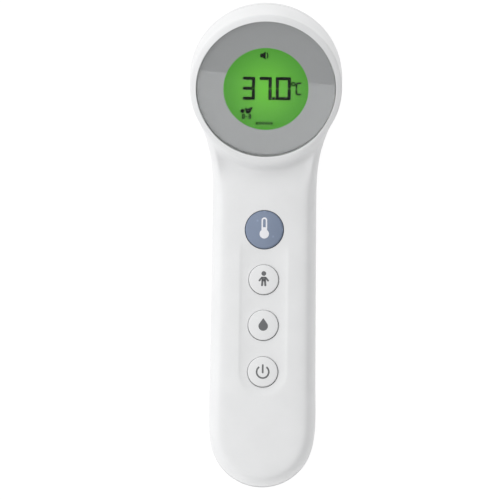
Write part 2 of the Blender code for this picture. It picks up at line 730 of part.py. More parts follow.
def cap_profile(radius, edge, crown):
    """A button cap: a domed top, a straight side, a flange behind the wall and a stem."""
    dome = [(radius * share, edge + crown * (1 - share**2)) for share in (0, 0.45, 0.8)]
    low, high = FLANGE_Z
    return [
        *dome, (radius - 0.35, edge), (radius, edge - 0.35), (radius, high), (radius + FLANGE, high),
        (radius + FLANGE, low), (STEM_RADIUS, low), (STEM_RADIUS, STEM_LOW), (0, STEM_LOW),
    ]


def add_buttons():
    for name, (y, well) in BUTTONS.items():
        raised = name == "measure"
        edge = THICKNESS + (PROUD_STEP if raised else 0.0)
        profile = cap_profile(well - GAP, edge, PROUD_DOME_RISE if raised else DOME_RISE)
        colour = BUTTON_BLUE if raised else BUTTON_WHITE
        cap = add_turned(f"{name}_button", profile, colour, (0, y, 0), steps=24)
        shade(cap)
        case = box_between(((-3, 3), (-3, 3), (BOARD_Z[1] + GAP / 2, SWITCH_TOP)))
        switch = add_object(f"{name}_switch", case, BLACK, (0, y, 0))
        plunger = add_cutter(f"{name}_plunger", cylinder_mesh(*PLUNGER, 16), (0, y, 0))
        boolean(switch, plunger, "UNION")
    wells = [circle_points(3.2, 16, (0, y)) for y, _ in BUTTONS.values()]
    posts = [circle_points(2.1, 12, (0, y)) for y in (TRAY_SCREWS_Y[1], BOARD_SCREW_Y)]
    edge = rectangle_points((-6.8, 6.8), (POWER_Y - 6, MEASURE_Y + 4.1))
    add_plate("keypad_seal", [edge, *wells, *posts], SEAL_Z, RUBBER)


def add_main_board():
    wide, narrow = 9.3, 6.8
    low, high = POWER_Y - 8, 16.5
    notch_low, notch_high = NECK_SCREW[1] - 2.9, NECK_SCREW[1] + 2.9
    right = [(wide, low), (wide, notch_low), (narrow, notch_low)]
    right += [(narrow, notch_high), (wide, notch_high), (wide, high)]
    left = [(-x, y) for x, y in reversed(right)]
    holes = [circle_points(1.0, 12, (0, y)) for y in (TRAY_SCREWS_Y[1], BOARD_SCREW_Y)]
    add_plate("main_board", [right + left, *holes], BOARD_Z, BOARD_GREEN)
    low, high = BOARD_Z[1] + GAP / 2, 20.8
    add_object("microcontroller", box_between(((-3.3, 3.3), (9.4, 16.0), (low, high))), BLACK)
    crystal = box_between(((4.2, 8.2), (-20.4, -16.8), (low, 20.6)))
    add_object("quartz_crystal", crystal, STEEL)
    under = BOARD_Z[0] - GAP / 2
    face, hole = under - 3.5, under - 2.9
    buzzer = [(0, under), (6.0, under), (6.0, face), (1.0, face), (1.0, hole), (0, hole)]
    shade(add_turned("buzzer", buzzer, BLACK, (0, 8.5, 0)))
    can = [(0, under), (2.2, under), (2.2, under - 5.2), (2.0, under - 5.5), (0, under - 5.5)]
    shade(add_turned("capacitor", can, STEEL, (5.6, -2.4, 0), steps=24))


def add_cell(name, x, tip_y, direction):
    """An AA cell along the handle, from its positive tip at tip_y back against the direction."""
    radius = CELL_RADIUS
    profile = [
        (0, 0), (2.6, 0), (2.8, -0.3), (2.8, -1.2), (radius - 0.8, -1.2), (radius, -2.0),
        (radius, 0.8 - CELL_LENGTH), (radius - 0.8, -CELL_LENGTH), (0, -CELL_LENGTH),
    ]
    cell = add_turned(name, profile, CELL_WRAP, (x, tip_y, CELL_Z), steps=24)
    cell.rotation_euler.x = -direction * math.pi / 2
    shade(cell)


def add_spring(name, x, wide_y, narrow_y):
    """A conical contact spring, wide at its plate and narrow at the cell."""
    turns, steps = 3, 10
    points = []
    for step in range(turns * steps + 1):
        share = step / (turns * steps)
        angle = 2 * math.pi * step / steps
        radius = 4.6 - 2.2 * share
        y = wide_y + (narrow_y - wide_y) * share
        points.append(Vector((x + radius * math.cos(angle), y, CELL_Z + radius * math.sin(angle))))
    add_wire(name, points, 0.35, STEEL)


def add_tray():
    """The inner floor over the cells, with a wall at each end of the bay."""
    narrowing = [math.radians(angle) for angle in range(180, 361, 15)]
    end = [(14.1 * math.cos(a), END_Y + 14.0 * math.sin(a)) for a in narrowing]
    top = BAY_Y[1] + 1.0
    outline = [*end, (14.1, top), (-14.1, top)]
    holes = [circle_points(1.1, 12, (0, y)) for y in TRAY_SCREWS_Y]
    tray = meshed(add_plate("battery_tray", [outline, *holes], TRAY_Z, LIGHT_GREY))
    low_wall = box_between(((-10.6, 10.6), (BAY_Y[0] - 1, BAY_Y[0]), (5.4, 17.6)))
    high_wall = box_between(((-13.0, 13.0), (BAY_Y[1], BAY_Y[1] + 1), (5.8, 17.6)))
    boolean(tray, add_cutter("bay_low_wall", low_wall), "UNION")
    boolean(tray, add_cutter("bay_high_wall", high_wall), "UNION")


def add_power():
    add_tray()
    low_wall, high_wall = BAY_Y
    plate_z = (CELL_Z - 4.2, CELL_Z + 5.0)
    top_plate = (high_wall - GAP - 0.4, high_wall - GAP)
    bottom_plate = (low_wall + GAP, low_wall + GAP + 0.4)
    add_cell("battery_1", -CELL_X, top_plate[0] - GAP, 1)
    add_cell("battery_2", CELL_X, bottom_plate[1] + GAP, -1)
    add_object("positive_contact", box_between(((-11.0, -3.4), top_plate, plate_z)), STEEL)
    add_object("negative_contact", box_between(((3.4, 11.0), top_plate, plate_z)), STEEL)
    add_object("link_contact", box_between(((-10.4, 10.4), bottom_plate, plate_z)), STEEL)
    clear = GAP + 0.4
    flat_1 = top_plate[0] - GAP - CELL_LENGTH
    flat_2 = bottom_plate[1] + GAP + CELL_LENGTH
    add_spring("link_spring", -CELL_X, bottom_plate[1] + clear, flat_1 - clear)
    add_spring("negative_spring", CELL_X, top_plate[0] - clear, flat_2 + clear)


def add_cables():
    for name, x, material in (("positive_wire", -7.2, RED_WIRE), ("negative_wire", 8.5, BLACK_WIRE)):
        points = [(x, -4.4, 9.0), (x, -4.4, 12.5), (x, -3.9, 15.6), (x, -3.6, 17.8)]
        add_wire(name, smooth_route([Vector(point) for point in points], 4), 0.6, material)
    display = [(3.0, 38.2, 21.9), (3.0, 33.0, 19.6), (3.0, 26.0, 18.6), (3.0, 20.0, 18.9), (3.0, 17.2, 19.0)]
    sensor = [
        (-3.5, 45.4, 19.3), (-3.5, 41.0, 18.4), (-3.5, 34.0, 16.8), (-3.5, 26.0, 16.4), (-3.5, 20.0, 17.8),
        (-3.5, 17.2, 19.0),
    ]
    add_ribbon("display_cable", [Vector(point) for point in display], 5.0, 0.3, AMBER)
    add_ribbon("sensor_cable", [Vector(point) for point in sensor], 4.0, 0.3, AMBER)


add_front_shell()
add_rear_shell()
add_battery_door()
add_nose()
add_screws()
add_display()
add_sensor()
add_buttons()
add_main_board()
add_power()
add_cables()
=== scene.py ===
"""The looks of a no-touch infrared thermometer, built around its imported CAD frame.

The thermometer lies on its flat back. +Z comes out of the front face, +Y runs along the handle toward the
head and +X is to the right. Sizes are millimetres, and the helpers turn them into metres.
"""

import math

import bmesh
import bpy
from mathutils import Matrix, Vector


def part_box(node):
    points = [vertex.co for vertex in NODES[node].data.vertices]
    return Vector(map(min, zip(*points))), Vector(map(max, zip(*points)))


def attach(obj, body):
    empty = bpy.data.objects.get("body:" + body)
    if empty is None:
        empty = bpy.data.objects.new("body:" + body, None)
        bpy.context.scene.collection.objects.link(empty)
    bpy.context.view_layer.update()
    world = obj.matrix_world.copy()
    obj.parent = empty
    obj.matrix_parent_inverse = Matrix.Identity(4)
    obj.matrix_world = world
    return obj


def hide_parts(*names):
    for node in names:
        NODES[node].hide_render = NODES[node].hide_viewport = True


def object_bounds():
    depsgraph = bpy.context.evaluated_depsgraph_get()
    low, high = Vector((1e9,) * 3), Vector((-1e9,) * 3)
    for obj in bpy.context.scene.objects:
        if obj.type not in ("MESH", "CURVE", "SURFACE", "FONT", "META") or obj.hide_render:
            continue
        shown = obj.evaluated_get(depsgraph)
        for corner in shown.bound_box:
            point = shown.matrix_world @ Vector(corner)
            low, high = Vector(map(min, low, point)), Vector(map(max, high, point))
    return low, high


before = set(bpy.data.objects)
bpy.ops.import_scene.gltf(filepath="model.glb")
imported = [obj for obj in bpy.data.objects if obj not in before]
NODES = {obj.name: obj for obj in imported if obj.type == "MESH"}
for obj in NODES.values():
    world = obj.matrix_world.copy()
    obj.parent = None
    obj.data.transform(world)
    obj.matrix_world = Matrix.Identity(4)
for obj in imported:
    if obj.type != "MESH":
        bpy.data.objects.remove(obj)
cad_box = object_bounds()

MM = 0.001
SHARP_ANGLE = math.radians(35)

# The handle, which ends in a half-ellipse. Its face is inset from its outline and crowned from side to side.
THICKNESS = 25.0
PARTING = THICKNESS / 2
WALL = 2.0
PARTING_GAP = 0.3
NECK_HALF_WIDTH = 16.6
LOW_HALF_WIDTH = 17.0
NECK_Y = 20.0
LOW_Y = -50.0
END_Y = -60.1
END_LENGTH = 17.4
REAR_OVERHANG = 0.35
FACE_INSET = 3.9
CROWN = 0.5

# The head. Its own frame has +Z along the axis that the display faces, and starts at the rim. The rim is a
# little wider and higher over the neck, and the body's line bends up into the head over a length.
TILT = math.radians(17.0)
RIM_CENTRE = Vector((0.0, 49.7, 36.0))
HEAD = Matrix.Translation(RIM_CENTRE * MM) @ Matrix.Rotation(TILT, 4, "X")
RIM_RADIUS = 24.35
NECK_RIM = (25.6, 26.3, 25.6)
NECK_RIM_DROP = 0.35
HEAD_DEPTH = 13.0
BEND_LENGTH = 20.0
FLARE_SLOPE = math.tan(math.radians(19.5))
FLARE_START = 20.0
FLARE_END = 38.0
LEVEL_FACE_END = 26.0
TILTED_FACE_START = 42.0

# The cages of the shells: spokes round the head, rows along the handle and columns across it. The last three
# spokes are over the neck, and the body's outline leaves them out.
SPOKES = 16
SPOKE_STEP = 2 * math.pi / SPOKES
FIRST_SPOKE = -math.pi / 4
ARC_SPOKES = 13
CORNER_S = 38.5
ROWS = (32.0, 26.0, 19.0, 14.0, 8.0, 1.0, -6.0, -19.0, -33.0, -47.0, END_Y)
END_ANGLES = (-150, -120, -90, -60, -30)
COLUMNS = (-1.0, -0.5, 0.0, 0.5, 1.0)
END_ROW_DIP = 2.5
# A smooth surface runs inside its cage. These factors put the round ends back on their radius.
SPOKE_GAIN = 3 / (2 + math.cos(SPOKE_STEP))
END_GAIN = 3 / (2 + math.cos(math.radians(30)))

# Loops of each cage, outside to inside: head radius, head height, handle inset, handle height.
FRONT_LOOPS = (
    (24.4, 0.15, 0.0, 0.15),
    (24.4, 4.0, 0.05, 4.0),
    (24.2, 8.4, 0.75, 8.4),
    (24.3, 11.4, 2.2, 11.2),
)
REAR_LOOPS = (
    (24.4, -0.15, 0.0, -0.15),
    (24.3, -2.8, 0.0, -2.8),
    (22.9, -6.8, 1.0, -6.8),
    (19.4, -10.6, 3.2, -10.6),
    (15.6, -12.8, 6.4, -12.5),
)
REAR_RINGS = ((13.2, -13.7), (10.6, -14.3))
# Marks for the points on the parting edge and on the edge of the opening, and how crisp the rims stay.
PARTING_TAG = 1.0
OPENING_TAG = 0.5
INNER_CREASE = 0.85
OUTER_CREASE = 0.1
RIM_DROP = 0.75
SKIN_LEVELS = 3


def blend(value, low, high):
    """Rises smoothly from 0 at low to 1 at high."""
    t = min(max((value - low) / (high - low), 0.0), 1.0)
    return t * t * (3 - 2 * t)


def mix(first, second, share):
    """The value at a share of the way from the first to the second."""
    return first + (second - first) * share


# ---- Objects and meshes ----


def add_object(name, data, at=(0, 0, 0), turned=None):
    """A new object with its origin at a place in millimetres, or in the head's frame when turned is given."""
    obj = bpy.data.objects.new(name, data)
    bpy.context.scene.collection.objects.link(obj)
    place = Matrix.Translation(Vector(at) * MM)
    obj.matrix_world = turned @ place if turned else place
    return obj


def mesh_from(name, bm):
    """The mesh that an edit mesh describes."""
    mesh = bpy.data.meshes.new(name)
    bm.to_mesh(mesh)
    bm.free()
    return mesh


def box_mesh(lows_and_highs, round_edge=0.0):
    """A box between an x, a y and a z range, with its edges rounded."""
    size = [high - low for low, high in lows_and_highs]
    centre = [(high + low) / 2 for low, high in lows_and_highs]
    bm = bmesh.new()
    bmesh.ops.create_cube(bm, size=1.0)
    bmesh.ops.scale(bm, vec=Vector(size) * MM, verts=bm.verts)
    bmesh.ops.translate(bm, vec=Vector(centre) * MM, verts=bm.verts)
    if round_edge:
        bmesh.ops.bevel(bm, geom=bm.edges[:], offset=round_edge * MM, segments=3, profile=0.5, affect="EDGES")
    return mesh_from("box", bm)


def turned_mesh(points, steps=96, closed=False):
    """A turned solid from its half-section: radius and height of each point, down the outer side."""
    bm = bmesh.new()
    verts = [bm.verts.new((radius * MM, 0, height * MM)) for radius, height in points]
    edges = [bm.edges.new(pair) for pair in zip(verts, verts[1:])]
    if closed:
        edges.append(bm.edges.new((verts[-1], verts[0])))
    bmesh.ops.spin(
        bm, geom=verts + edges, axis=(0, 0, 1), cent=(0, 0, 0), angle=2 * math.pi, steps=steps, use_merge=True
    )
    bmesh.ops.remove_doubles(bm, verts=bm.verts, dist=0.000001)
    bmesh.ops.recalc_face_normals(bm, faces=bm.faces)
    return mesh_from("turned", bm)


def arc(centre, radius, start, end, steps):
    """Points of an arc, from one angle to another in degrees."""
    points = []
    for step in range(steps + 1):
        angle = math.radians(mix(start, end, step / steps))
        points.append((centre[0] + radius * math.cos(angle), centre[1] + radius * math.sin(angle)))
    return points


def joined(meshes_and_places):
    """One mesh from several, each moved to its place in millimetres."""
    bm = bmesh.new()
    for mesh, place in meshes_and_places:
        mesh.transform(Matrix.Translation(Vector(place) * MM))
        bm.from_mesh(mesh)
        bpy.data.meshes.remove(mesh)
    return mesh_from("joined", bm)


def plate_mesh(outlines, low, high):
    """A flat plate between two heights, from its outlines. Outlines inside another are holes."""
    curve = bpy.data.curves.new("plate", "CURVE")
    curve.dimensions = "2D"
    curve.fill_mode = "BOTH"
    curve.extrude = (high - low) / 2 * MM
    for outline in outlines:
        spline = curve.splines.new("POLY")
        spline.points.add(len(outline) - 1)
        for point, (x, y) in zip(spline.points, outline):
            point.co = (x * MM, y * MM, 0, 1)
        spline.use_cyclic_u = True
    carrier = bpy.data.objects.new("plate", curve)
    mesh = bpy.data.meshes.new_from_object(carrier)
    bpy.data.objects.remove(carrier)
    bpy.data.curves.remove(curve)
    mesh.transform(Matrix.Translation((0, 0, (low + high) / 2 * MM)))
    bm = bmesh.new()
    bm.from_mesh(mesh)
    bpy.data.meshes.remove(mesh)
    bmesh.ops.remove_doubles(bm, verts=bm.verts, dist=0.0000005)
    bmesh.ops.recalc_face_normals(bm, faces=bm.faces)
    return mesh_from("plate", bm)


def modifier(obj, kind, **settings):
    """Adds a modifier with its settings."""
    added = obj.modifiers.new(kind.lower(), kind)
    for name, value in settings.items():
        setattr(added, name, value)


def settle(obj):
    """Turns the object's modifiers into its mesh."""
    bpy.context.view_layer.update()
    graph = bpy.context.evaluated_depsgraph_get()
    obj.data = bpy.data.meshes.new_from_object(obj.evaluated_get(graph))
    obj.modifiers.clear()
    return obj


def cut(obj, tool_mesh, operation="DIFFERENCE", turned=None):
    """Cuts, joins or intersects the object's mesh with a tool placed in the world, or in the head's frame."""
    tool = add_object("tool", tool_mesh, turned=turned)
    modifier(obj, "BOOLEAN", operation=operation, object=tool, solver="EXACT")
    settle(obj)
    bpy.data.objects.remove(tool)
    bpy.data.meshes.remove(tool_mesh)


def shade(obj):
    """Smooth shading that keeps flat faces flat and sharp edges sharp."""
    obj.data.shade_smooth()
    obj.data.set_sharp_from_angle(angle=SHARP_ANGLE)
    modifier(obj, "WEIGHTED_NORMAL", keep_sharp=True)
    settle(obj)


def finish_piece(obj, material, body="root", replaces=()):
    """Gives a piece its shading and material, and says what it rides on and stands for."""
    shade(obj)
    obj.data.materials.clear()
    obj.data.materials.append(material)
    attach(obj, body)
    if replaces:
        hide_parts(*replaces)


# ---- The body's shape ----

# A place on the body is given by x, the length s along a line that follows the body in the parting plane,
# and the height h above that line. The line is straight under the handle and bends up into the head.
RIM_TO_LINE = RIM_CENTRE - HEAD_DEPTH * Vector((0, -math.sin(TILT), math.cos(TILT)))
BEND_MIDDLE = RIM_TO_LINE.y - (RIM_TO_LINE.z - PARTING) / math.tan(TILT)
HEAD_S = BEND_MIDDLE + (RIM_TO_LINE.z - PARTING) / math.sin(TILT)
BEND_RADIUS = BEND_LENGTH / 2 / math.tan(TILT / 2)
BEND_START = BEND_MIDDLE - BEND_LENGTH / 2
BEND_ARC = BEND_RADIUS * TILT


def body_line(s):
    """The y, the z and the slope of the line at the length s along it."""
    if s < BEND_START:
        return s, PARTING, 0.0
    slope = min(s - BEND_START, BEND_ARC) / BEND_RADIUS
    rest = max(s - BEND_START - BEND_ARC, 0.0)
    y = BEND_START + BEND_RADIUS * math.sin(slope) + rest * math.cos(slope)
    z = PARTING + BEND_RADIUS * (1 - math.cos(slope)) + rest * math.sin(slope)
    return y, z, slope


def bent(x, s, h):
    """The point at x, at the length s along the line and at the height h above it."""
    y, z, slope = body_line(s)
    return Vector((x, y - h * math.sin(slope), z + h * math.cos(slope)))


def half_width(s):
    """Half the width of the body's outline: slightly wider low down, and flared into the head."""
    low = min(max((NECK_Y - s) / (NECK_Y - LOW_Y), 0.0), 1.0)
    width = mix(NECK_HALF_WIDTH, LOW_HALF_WIDTH, low)
    if s <= FLARE_START:
        return width
    curved = min(s, FLARE_END) - FLARE_START
    width += FLARE_SLOPE * curved**2 / (2 * (FLARE_END - FLARE_START))
    return width + FLARE_SLOPE * max(s - FLARE_END, 0.0)


def face_share(s):
    """The height of the handle's face above the line at s, as a share of that on the straight handle."""
    _, z, slope = body_line(s)
    level = (THICKNESS - z) / math.cos(slope) / PARTING
    return mix(level, 1, blend(s, LEVEL_FACE_END, TILTED_FACE_START))


def spoke_point(spoke, radius, height):
    """A point round the head: on a spoke, at a radius and at a height above the line."""
    angle = FIRST_SPOKE + spoke * SPOKE_STEP
    reach = radius * SPOKE_GAIN
    return bent(reach * math.cos(angle), HEAD_S + reach * math.sin(angle), height)


def end_point(angle, inset, height, overhang=0.0):
    """A point on the half-ellipse that closes the bottom of the handle."""
    across = (LOW_HALF_WIDTH - inset) * END_GAIN * math.cos(angle)
    along = (END_LENGTH + overhang - inset) * END_GAIN * math.sin(angle)
    return bent(across, END_Y + along, height)


def cage_loop(head_radius, head_height, inset, height, front, overhang=0.0):
    """One closed loop round the body: the head's arc, the left side, the bottom end and the right side."""
    def side(s):
        """The loop's half width and height at s."""
        wide = half_width(s) * (1.0 if s > END_Y else (1 + END_GAIN) / 2) - inset
        return wide, height * (face_share(s) if front else 1.0)

    arc_points = [spoke_point(spoke, head_radius, head_height) for spoke in range(1, ARC_SPOKES - 1)]
    corner_width, corner_height = side(CORNER_S)
    sides = [(s, *side(s)) for s in ROWS]
    left = [bent(-wide, s, high) for s, wide, high in sides]
    right = [bent(wide, s, high) for s, wide, high in reversed(sides)]
    end = [end_point(math.radians(angle), inset, height, overhang) for angle in END_ANGLES]
    left_corner = bent(-corner_width, CORNER_S, corner_height)
    right_corner = bent(corner_width, CORNER_S, corner_height)
    return [right_corner, *arc_points, left_corner, *left, *end, *right]


def fill_cage(bm, loops, grid_inside, facing, rings):
    """Builds the quads between the loops, over the handle's face and round the head's rings."""
    tag = bm.verts.layers.float.new("rim_tag")
    rings_of_verts = [[bm.verts.new(point * MM) for point in loop] for loop in loops]
    for outer, inner in zip(rings_of_verts, rings_of_verts[1:]):
        for index in range(len(outer)):
            after = (index + 1) % len(outer)
            bm.faces.new((outer[index], outer[after], inner[after], inner[index]))
    edge = rings_of_verts[-1]
    facing_verts = [bm.verts.new(point * MM) for point in facing]
    grid = [[edge[ARC_SPOKES - 1], *facing_verts, edge[0]]]
    for row, points in enumerate(grid_inside, 1):
        inside = [bm.verts.new(point * MM) for point in points]
        grid.append([edge[ARC_SPOKES - 1 + row], *inside, edge[-row]])
    first_end = ARC_SPOKES + len(ROWS)
    grid.append(edge[first_end:first_end + len(COLUMNS)])
    for upper, lower in zip(grid, grid[1:]):
        for column in range(len(COLUMNS) - 1):
            bm.faces.new((upper[column], lower[column], lower[column + 1], upper[column + 1]))
    circle = [*edge[:ARC_SPOKES], *facing_verts]
    for ring in rings:
        inner = [bm.verts.new(point * MM) for point in ring]
        for index in range(SPOKES):
            after = (index + 1) % SPOKES
            bm.faces.new((circle[index], circle[after], inner[after], inner[index]))
        circle = inner
    for vert in rings_of_verts[0]:
        vert[tag] = PARTING_TAG
    for vert in circle:
        vert[tag] = OPENING_TAG


def face_point(column, y):
    """A point on the handle's front face, which is slightly crowned from side to side."""
    reach = half_width(min(y, NECK_Y)) - FACE_INSET
    return Vector((column * reach, y, THICKNESS - CROWN * column**2))


def rim_point(spoke, radius, depth):
    """A point of the head's wall, on a spoke and at a depth below the rim."""
    return spoke_point(spoke, radius, HEAD_DEPTH - depth)


# Where the head's wall runs down into the handle's face, by how far a column is from the middle: the y and z
# of the wall's foot, and of the hollow under it. Both are wider than the face below them.
FOOT = {1.0: (29.2, 24.8), 0.5: (25.2, 25.0), 0.0: (24.4, 25.3)}
HOLLOW = {1.0: (26.8, 22.8), 0.5: (23.6, 23.6), 0.0: (22.9, 24.0)}
FOOT_SPREAD = 1.15
HOLLOW_SPREAD = 1.02


def front_cage():
    """The cage of the front shell: its side, the handle's face and the wall up to the head's rim."""
    bm = bmesh.new()
    loops = [cage_loop(*loop, front=True) for loop in FRONT_LOOPS]
    grid = []
    for column in COLUMNS:
        reach = (NECK_HALF_WIDTH - FACE_INSET) * column
        high = [
            Vector((reach * FOOT_SPREAD, *FOOT[abs(column)])),
            Vector((reach * HOLLOW_SPREAD, *HOLLOW[abs(column)])),
        ]
        low = [face_point(column, s) for s in ROWS[2:-1]]
        low.append(face_point(column, END_Y - END_ROW_DIP * (1 - abs(column))))
        grid.append(high + low)
    rows = list(zip(*grid))
    edge = [rim_point(spoke, RIM_RADIUS, RIM_DROP) for spoke in range(ARC_SPOKES)]
    end = [end_point(math.radians(angle), FACE_INSET, PARTING - CROWN) for angle in END_ANGLES]
    loops.append([*edge, *[row[0] for row in rows], *end, *[row[-1] for row in reversed(rows)]])
    facing = [rim_point(spoke, radius, NECK_RIM_DROP) for spoke, radius in enumerate(NECK_RIM, ARC_SPOKES)]
    fill_cage(bm, loops, [row[1:-1] for row in rows], facing, [])
    return bm


def rear_cage():
    """The cage of the rear shell: its side, the flat back and the bowl behind the head."""
    bm = bmesh.new()
    loops = [cage_loop(*loop, front=False, overhang=REAR_OVERHANG) for loop in REAR_LOOPS]
    radius, height, inset, flat = REAR_LOOPS[-1]
    loops[-1][0] = spoke_point(0, radius, height)
    loops[-1][ARC_SPOKES - 1] = spoke_point(ARC_SPOKES - 1, radius, height)
    rows = []
    for s in ROWS:
        reach = half_width(min(s, NECK_Y)) - inset
        dip = END_ROW_DIP if s == END_Y else 0.0
        rows.append([bent(column * reach, s - dip * (1 - abs(column)), flat) for column in COLUMNS])
    for row, points in enumerate(rows):
        loops[-1][ARC_SPOKES + row] = points[0]
        loops[-1][-1 - row] = points[-1]
    facing = [spoke_point(spoke, radius, height) for spoke in range(ARC_SPOKES, SPOKES)]
    rings = [[spoke_point(spoke, *ring) for spoke in range(SPOKES)] for ring in REAR_RINGS]
    fill_cage(bm, loops, [points[1:-1] for points in rows], facing, rings)
    bmesh.ops.reverse_faces(bm, faces=bm.faces)
    return bm


def crease_rims(mesh):
    """Keeps the parting edges and the opening's inner edge crisp, and lets the rim fall away outward."""
    bm = bmesh.new()
    bm.from_mesh(mesh)
    tag = bm.verts.layers.float["rim_tag"]
    crease = bm.edges.layers.float.new("crease_edge")
    # The thickening adds the inner skin's points after the outer skin's.
    outer_count = len(bm.verts) / 2
    for edge in bm.edges:
        rims = [face for face in edge.link_faces if all(vert[tag] > 0 for vert in face.verts)]
        if len(rims) == 1:
            parting = min(vert[tag] for vert in edge.verts) == PARTING_TAG
            inner = min(vert.index for vert in edge.verts) >= outer_count
            edge[crease] = 1.0 if parting else (INNER_CREASE if inner else OUTER_CREASE)
    for vert in bm.verts:
        place = HEAD.inverted() @ vert.co
        if vert[tag] == OPENING_TAG and vert.index >= outer_count and place.z > -HEAD_DEPTH * MM:
            # The opening's inner edge is a true circle, level with the top of the rim.
            reach = (RIM_RADIUS - WALL) * SPOKE_GAIN * MM / math.hypot(place.x, place.y)
            vert.co = HEAD @ Vector((place.x * reach, place.y * reach, 0.0))
    bm.verts.layers.float.remove(tag)
    bm.to_mesh(mesh)
    bm.free()


def smooth_shell(name, cage):
    """A moulded shell from its cage: a wall thickened inward and smoothed, with its rims tagged."""
    shell = add_object(name, mesh_from(name, cage))
    modifier(shell, "SOLIDIFY", thickness=WALL * MM, offset=-1, use_even_offset=True)
    settle(shell)
    crease_rims(shell.data)
    modifier(shell, "SUBSURF", levels=SKIN_LEVELS, render_levels=SKIN_LEVELS)
    return settle(shell)


# ---- Materials ----


def new_material(name):
    """A material with its node tree and its shader."""
    material = bpy.data.materials.new(name)
    material.use_nodes = True
    tree = material.node_tree
    return material, tree, tree.nodes["Principled BSDF"]


def set_inputs(tree, node, inputs):
    """Sets a node's inputs to values, or links them to other nodes' sockets."""
    for name, value in inputs.items():
        if isinstance(value, bpy.types.NodeSocket):
            tree.links.new(value, node.inputs[name])
        else:
            node.inputs[name].default_value = value


def add_node(tree, kind, inputs=(), **settings):
    """A shader node with its settings and its inputs."""
    node = tree.nodes.new(f"ShaderNode{kind}")
    for name, value in settings.items():
        setattr(node, name, value)
    set_inputs(tree, node, dict(inputs))
    return node


def place_of(tree, stretch=(1, 1, 1)):
    """The socket with each point's place on the object, in metres, stretched for grain that runs one way."""
    coords = add_node(tree, "TexCoord")
    mapping = add_node(tree, "Mapping", {"Vector": coords.outputs["Object"], "Scale": stretch})
    return mapping.outputs["Vector"]


def noise_of(tree, place, size, detail=2.0):
    """A noise socket whose features are about this many millimetres across."""
    inputs = {"Vector": place, "Scale": 1 / (size * MM), "Detail": detail}
    return add_node(tree, "TexNoise", inputs).outputs["Fac"]


def ranged(tree, value, low, high, to_low, to_high):
    """A socket that maps the value from one range onto another, and stays inside it."""
    inputs = {"Value": value, "From Min": low, "From Max": high, "To Min": to_low, "To Max": to_high}
    return add_node(tree, "MapRange", inputs).outputs["Result"]


def colour_mix(tree, factor, first, second):
    """A socket with the first colour where the factor is 0 and the second where it is 1."""
    inputs = {"Factor": factor, "A": first, "B": second}
    node = tree.nodes.new("ShaderNodeMix")
    node.data_type = "RGBA"
    for socket in node.inputs:
        value = inputs.get(socket.name)
        if value is None or socket.type != ("VALUE" if socket.name == "Factor" else "RGBA"):
            continue
        if isinstance(value, bpy.types.NodeSocket):
            tree.links.new(value, socket)
        else:
            socket.default_value = value
    return next(socket for socket in node.outputs if socket.type == "RGBA")


def shaded(colour, share):
    """The colour made lighter or darker by a share."""
    return (*[min(channel * share, 1.0) for channel in colour[:3]], 1.0)


def moulded(
    name, colour, roughness, grain=0.22, bump=0.006, mottle=0.02, wear_and_highlight=0.04, stretch=(1, 1, 1), metallic=0.0,
    coat=0.0, specular=0.5,
):
    """A surface with fine grain, slight changes of colour and gloss, and edges made lighter as rubbed wear and
    a painted highlight.
    """
    material, tree, shader = new_material(name)
    place = place_of(tree, stretch)
    fine = noise_of(tree, place, grain)
    broad = noise_of(tree, place, 9.0, 3.0)
    # Convex edges, found by their pointiness, are painted lighter: partly rubbed wear, partly a painted
    # highlight.
    edges = ranged(tree, add_node(tree, "NewGeometry").outputs["Pointiness"], 0.52, 0.62, 0.0, 1.0)
    clouds = ranged(tree, broad, 0.3, 0.7, 0, 1)
    cloudy = colour_mix(tree, clouds, shaded(colour, 1 - mottle), shaded(colour, 1 + mottle))
    specks = ranged(tree, fine, 0.45, 0.75, 0, 0.25)
    speckled = colour_mix(tree, specks, cloudy, shaded(colour, 1 - 2 * mottle))
    worn_and_highlit = colour_mix(tree, edges, speckled, shaded(colour, 1 + wear_and_highlight))
    gloss = ranged(tree, fine, 0.3, 0.7, roughness - 0.05, roughness + 0.05)
    relief = add_node(tree, "Bump", {"Height": fine, "Strength": 0.6, "Distance": bump * MM})
    set_inputs(tree, shader, {
        "Base Color": worn_and_highlit, "Roughness": gloss, "Normal": relief.outputs["Normal"], "Metallic": metallic,
        "Coat Weight": coat, "Coat Roughness": 0.0, "Specular IOR Level": specular,
    })
    return material


def clear_acrylic(name, ior):
    """Polished acrylic with a faint cloudiness. A coated sheet mirrors less, as if its index were low."""
    material, tree, shader = new_material(name)
    place = place_of(tree)
    clouds = noise_of(tree, place, 14.0, 1.0)
    tint = colour_mix(tree, clouds, (0.97, 0.98, 0.98, 1), (0.99, 1.0, 1.0, 1))
    gloss = ranged(tree, noise_of(tree, place, 0.8, 3.0), 0.3, 0.7, 0.0, 0.03)
    set_inputs(tree, shader, {"Base Color": tint, "Roughness": gloss, "Transmission Weight": 1.0, "IOR": ior})
    return material


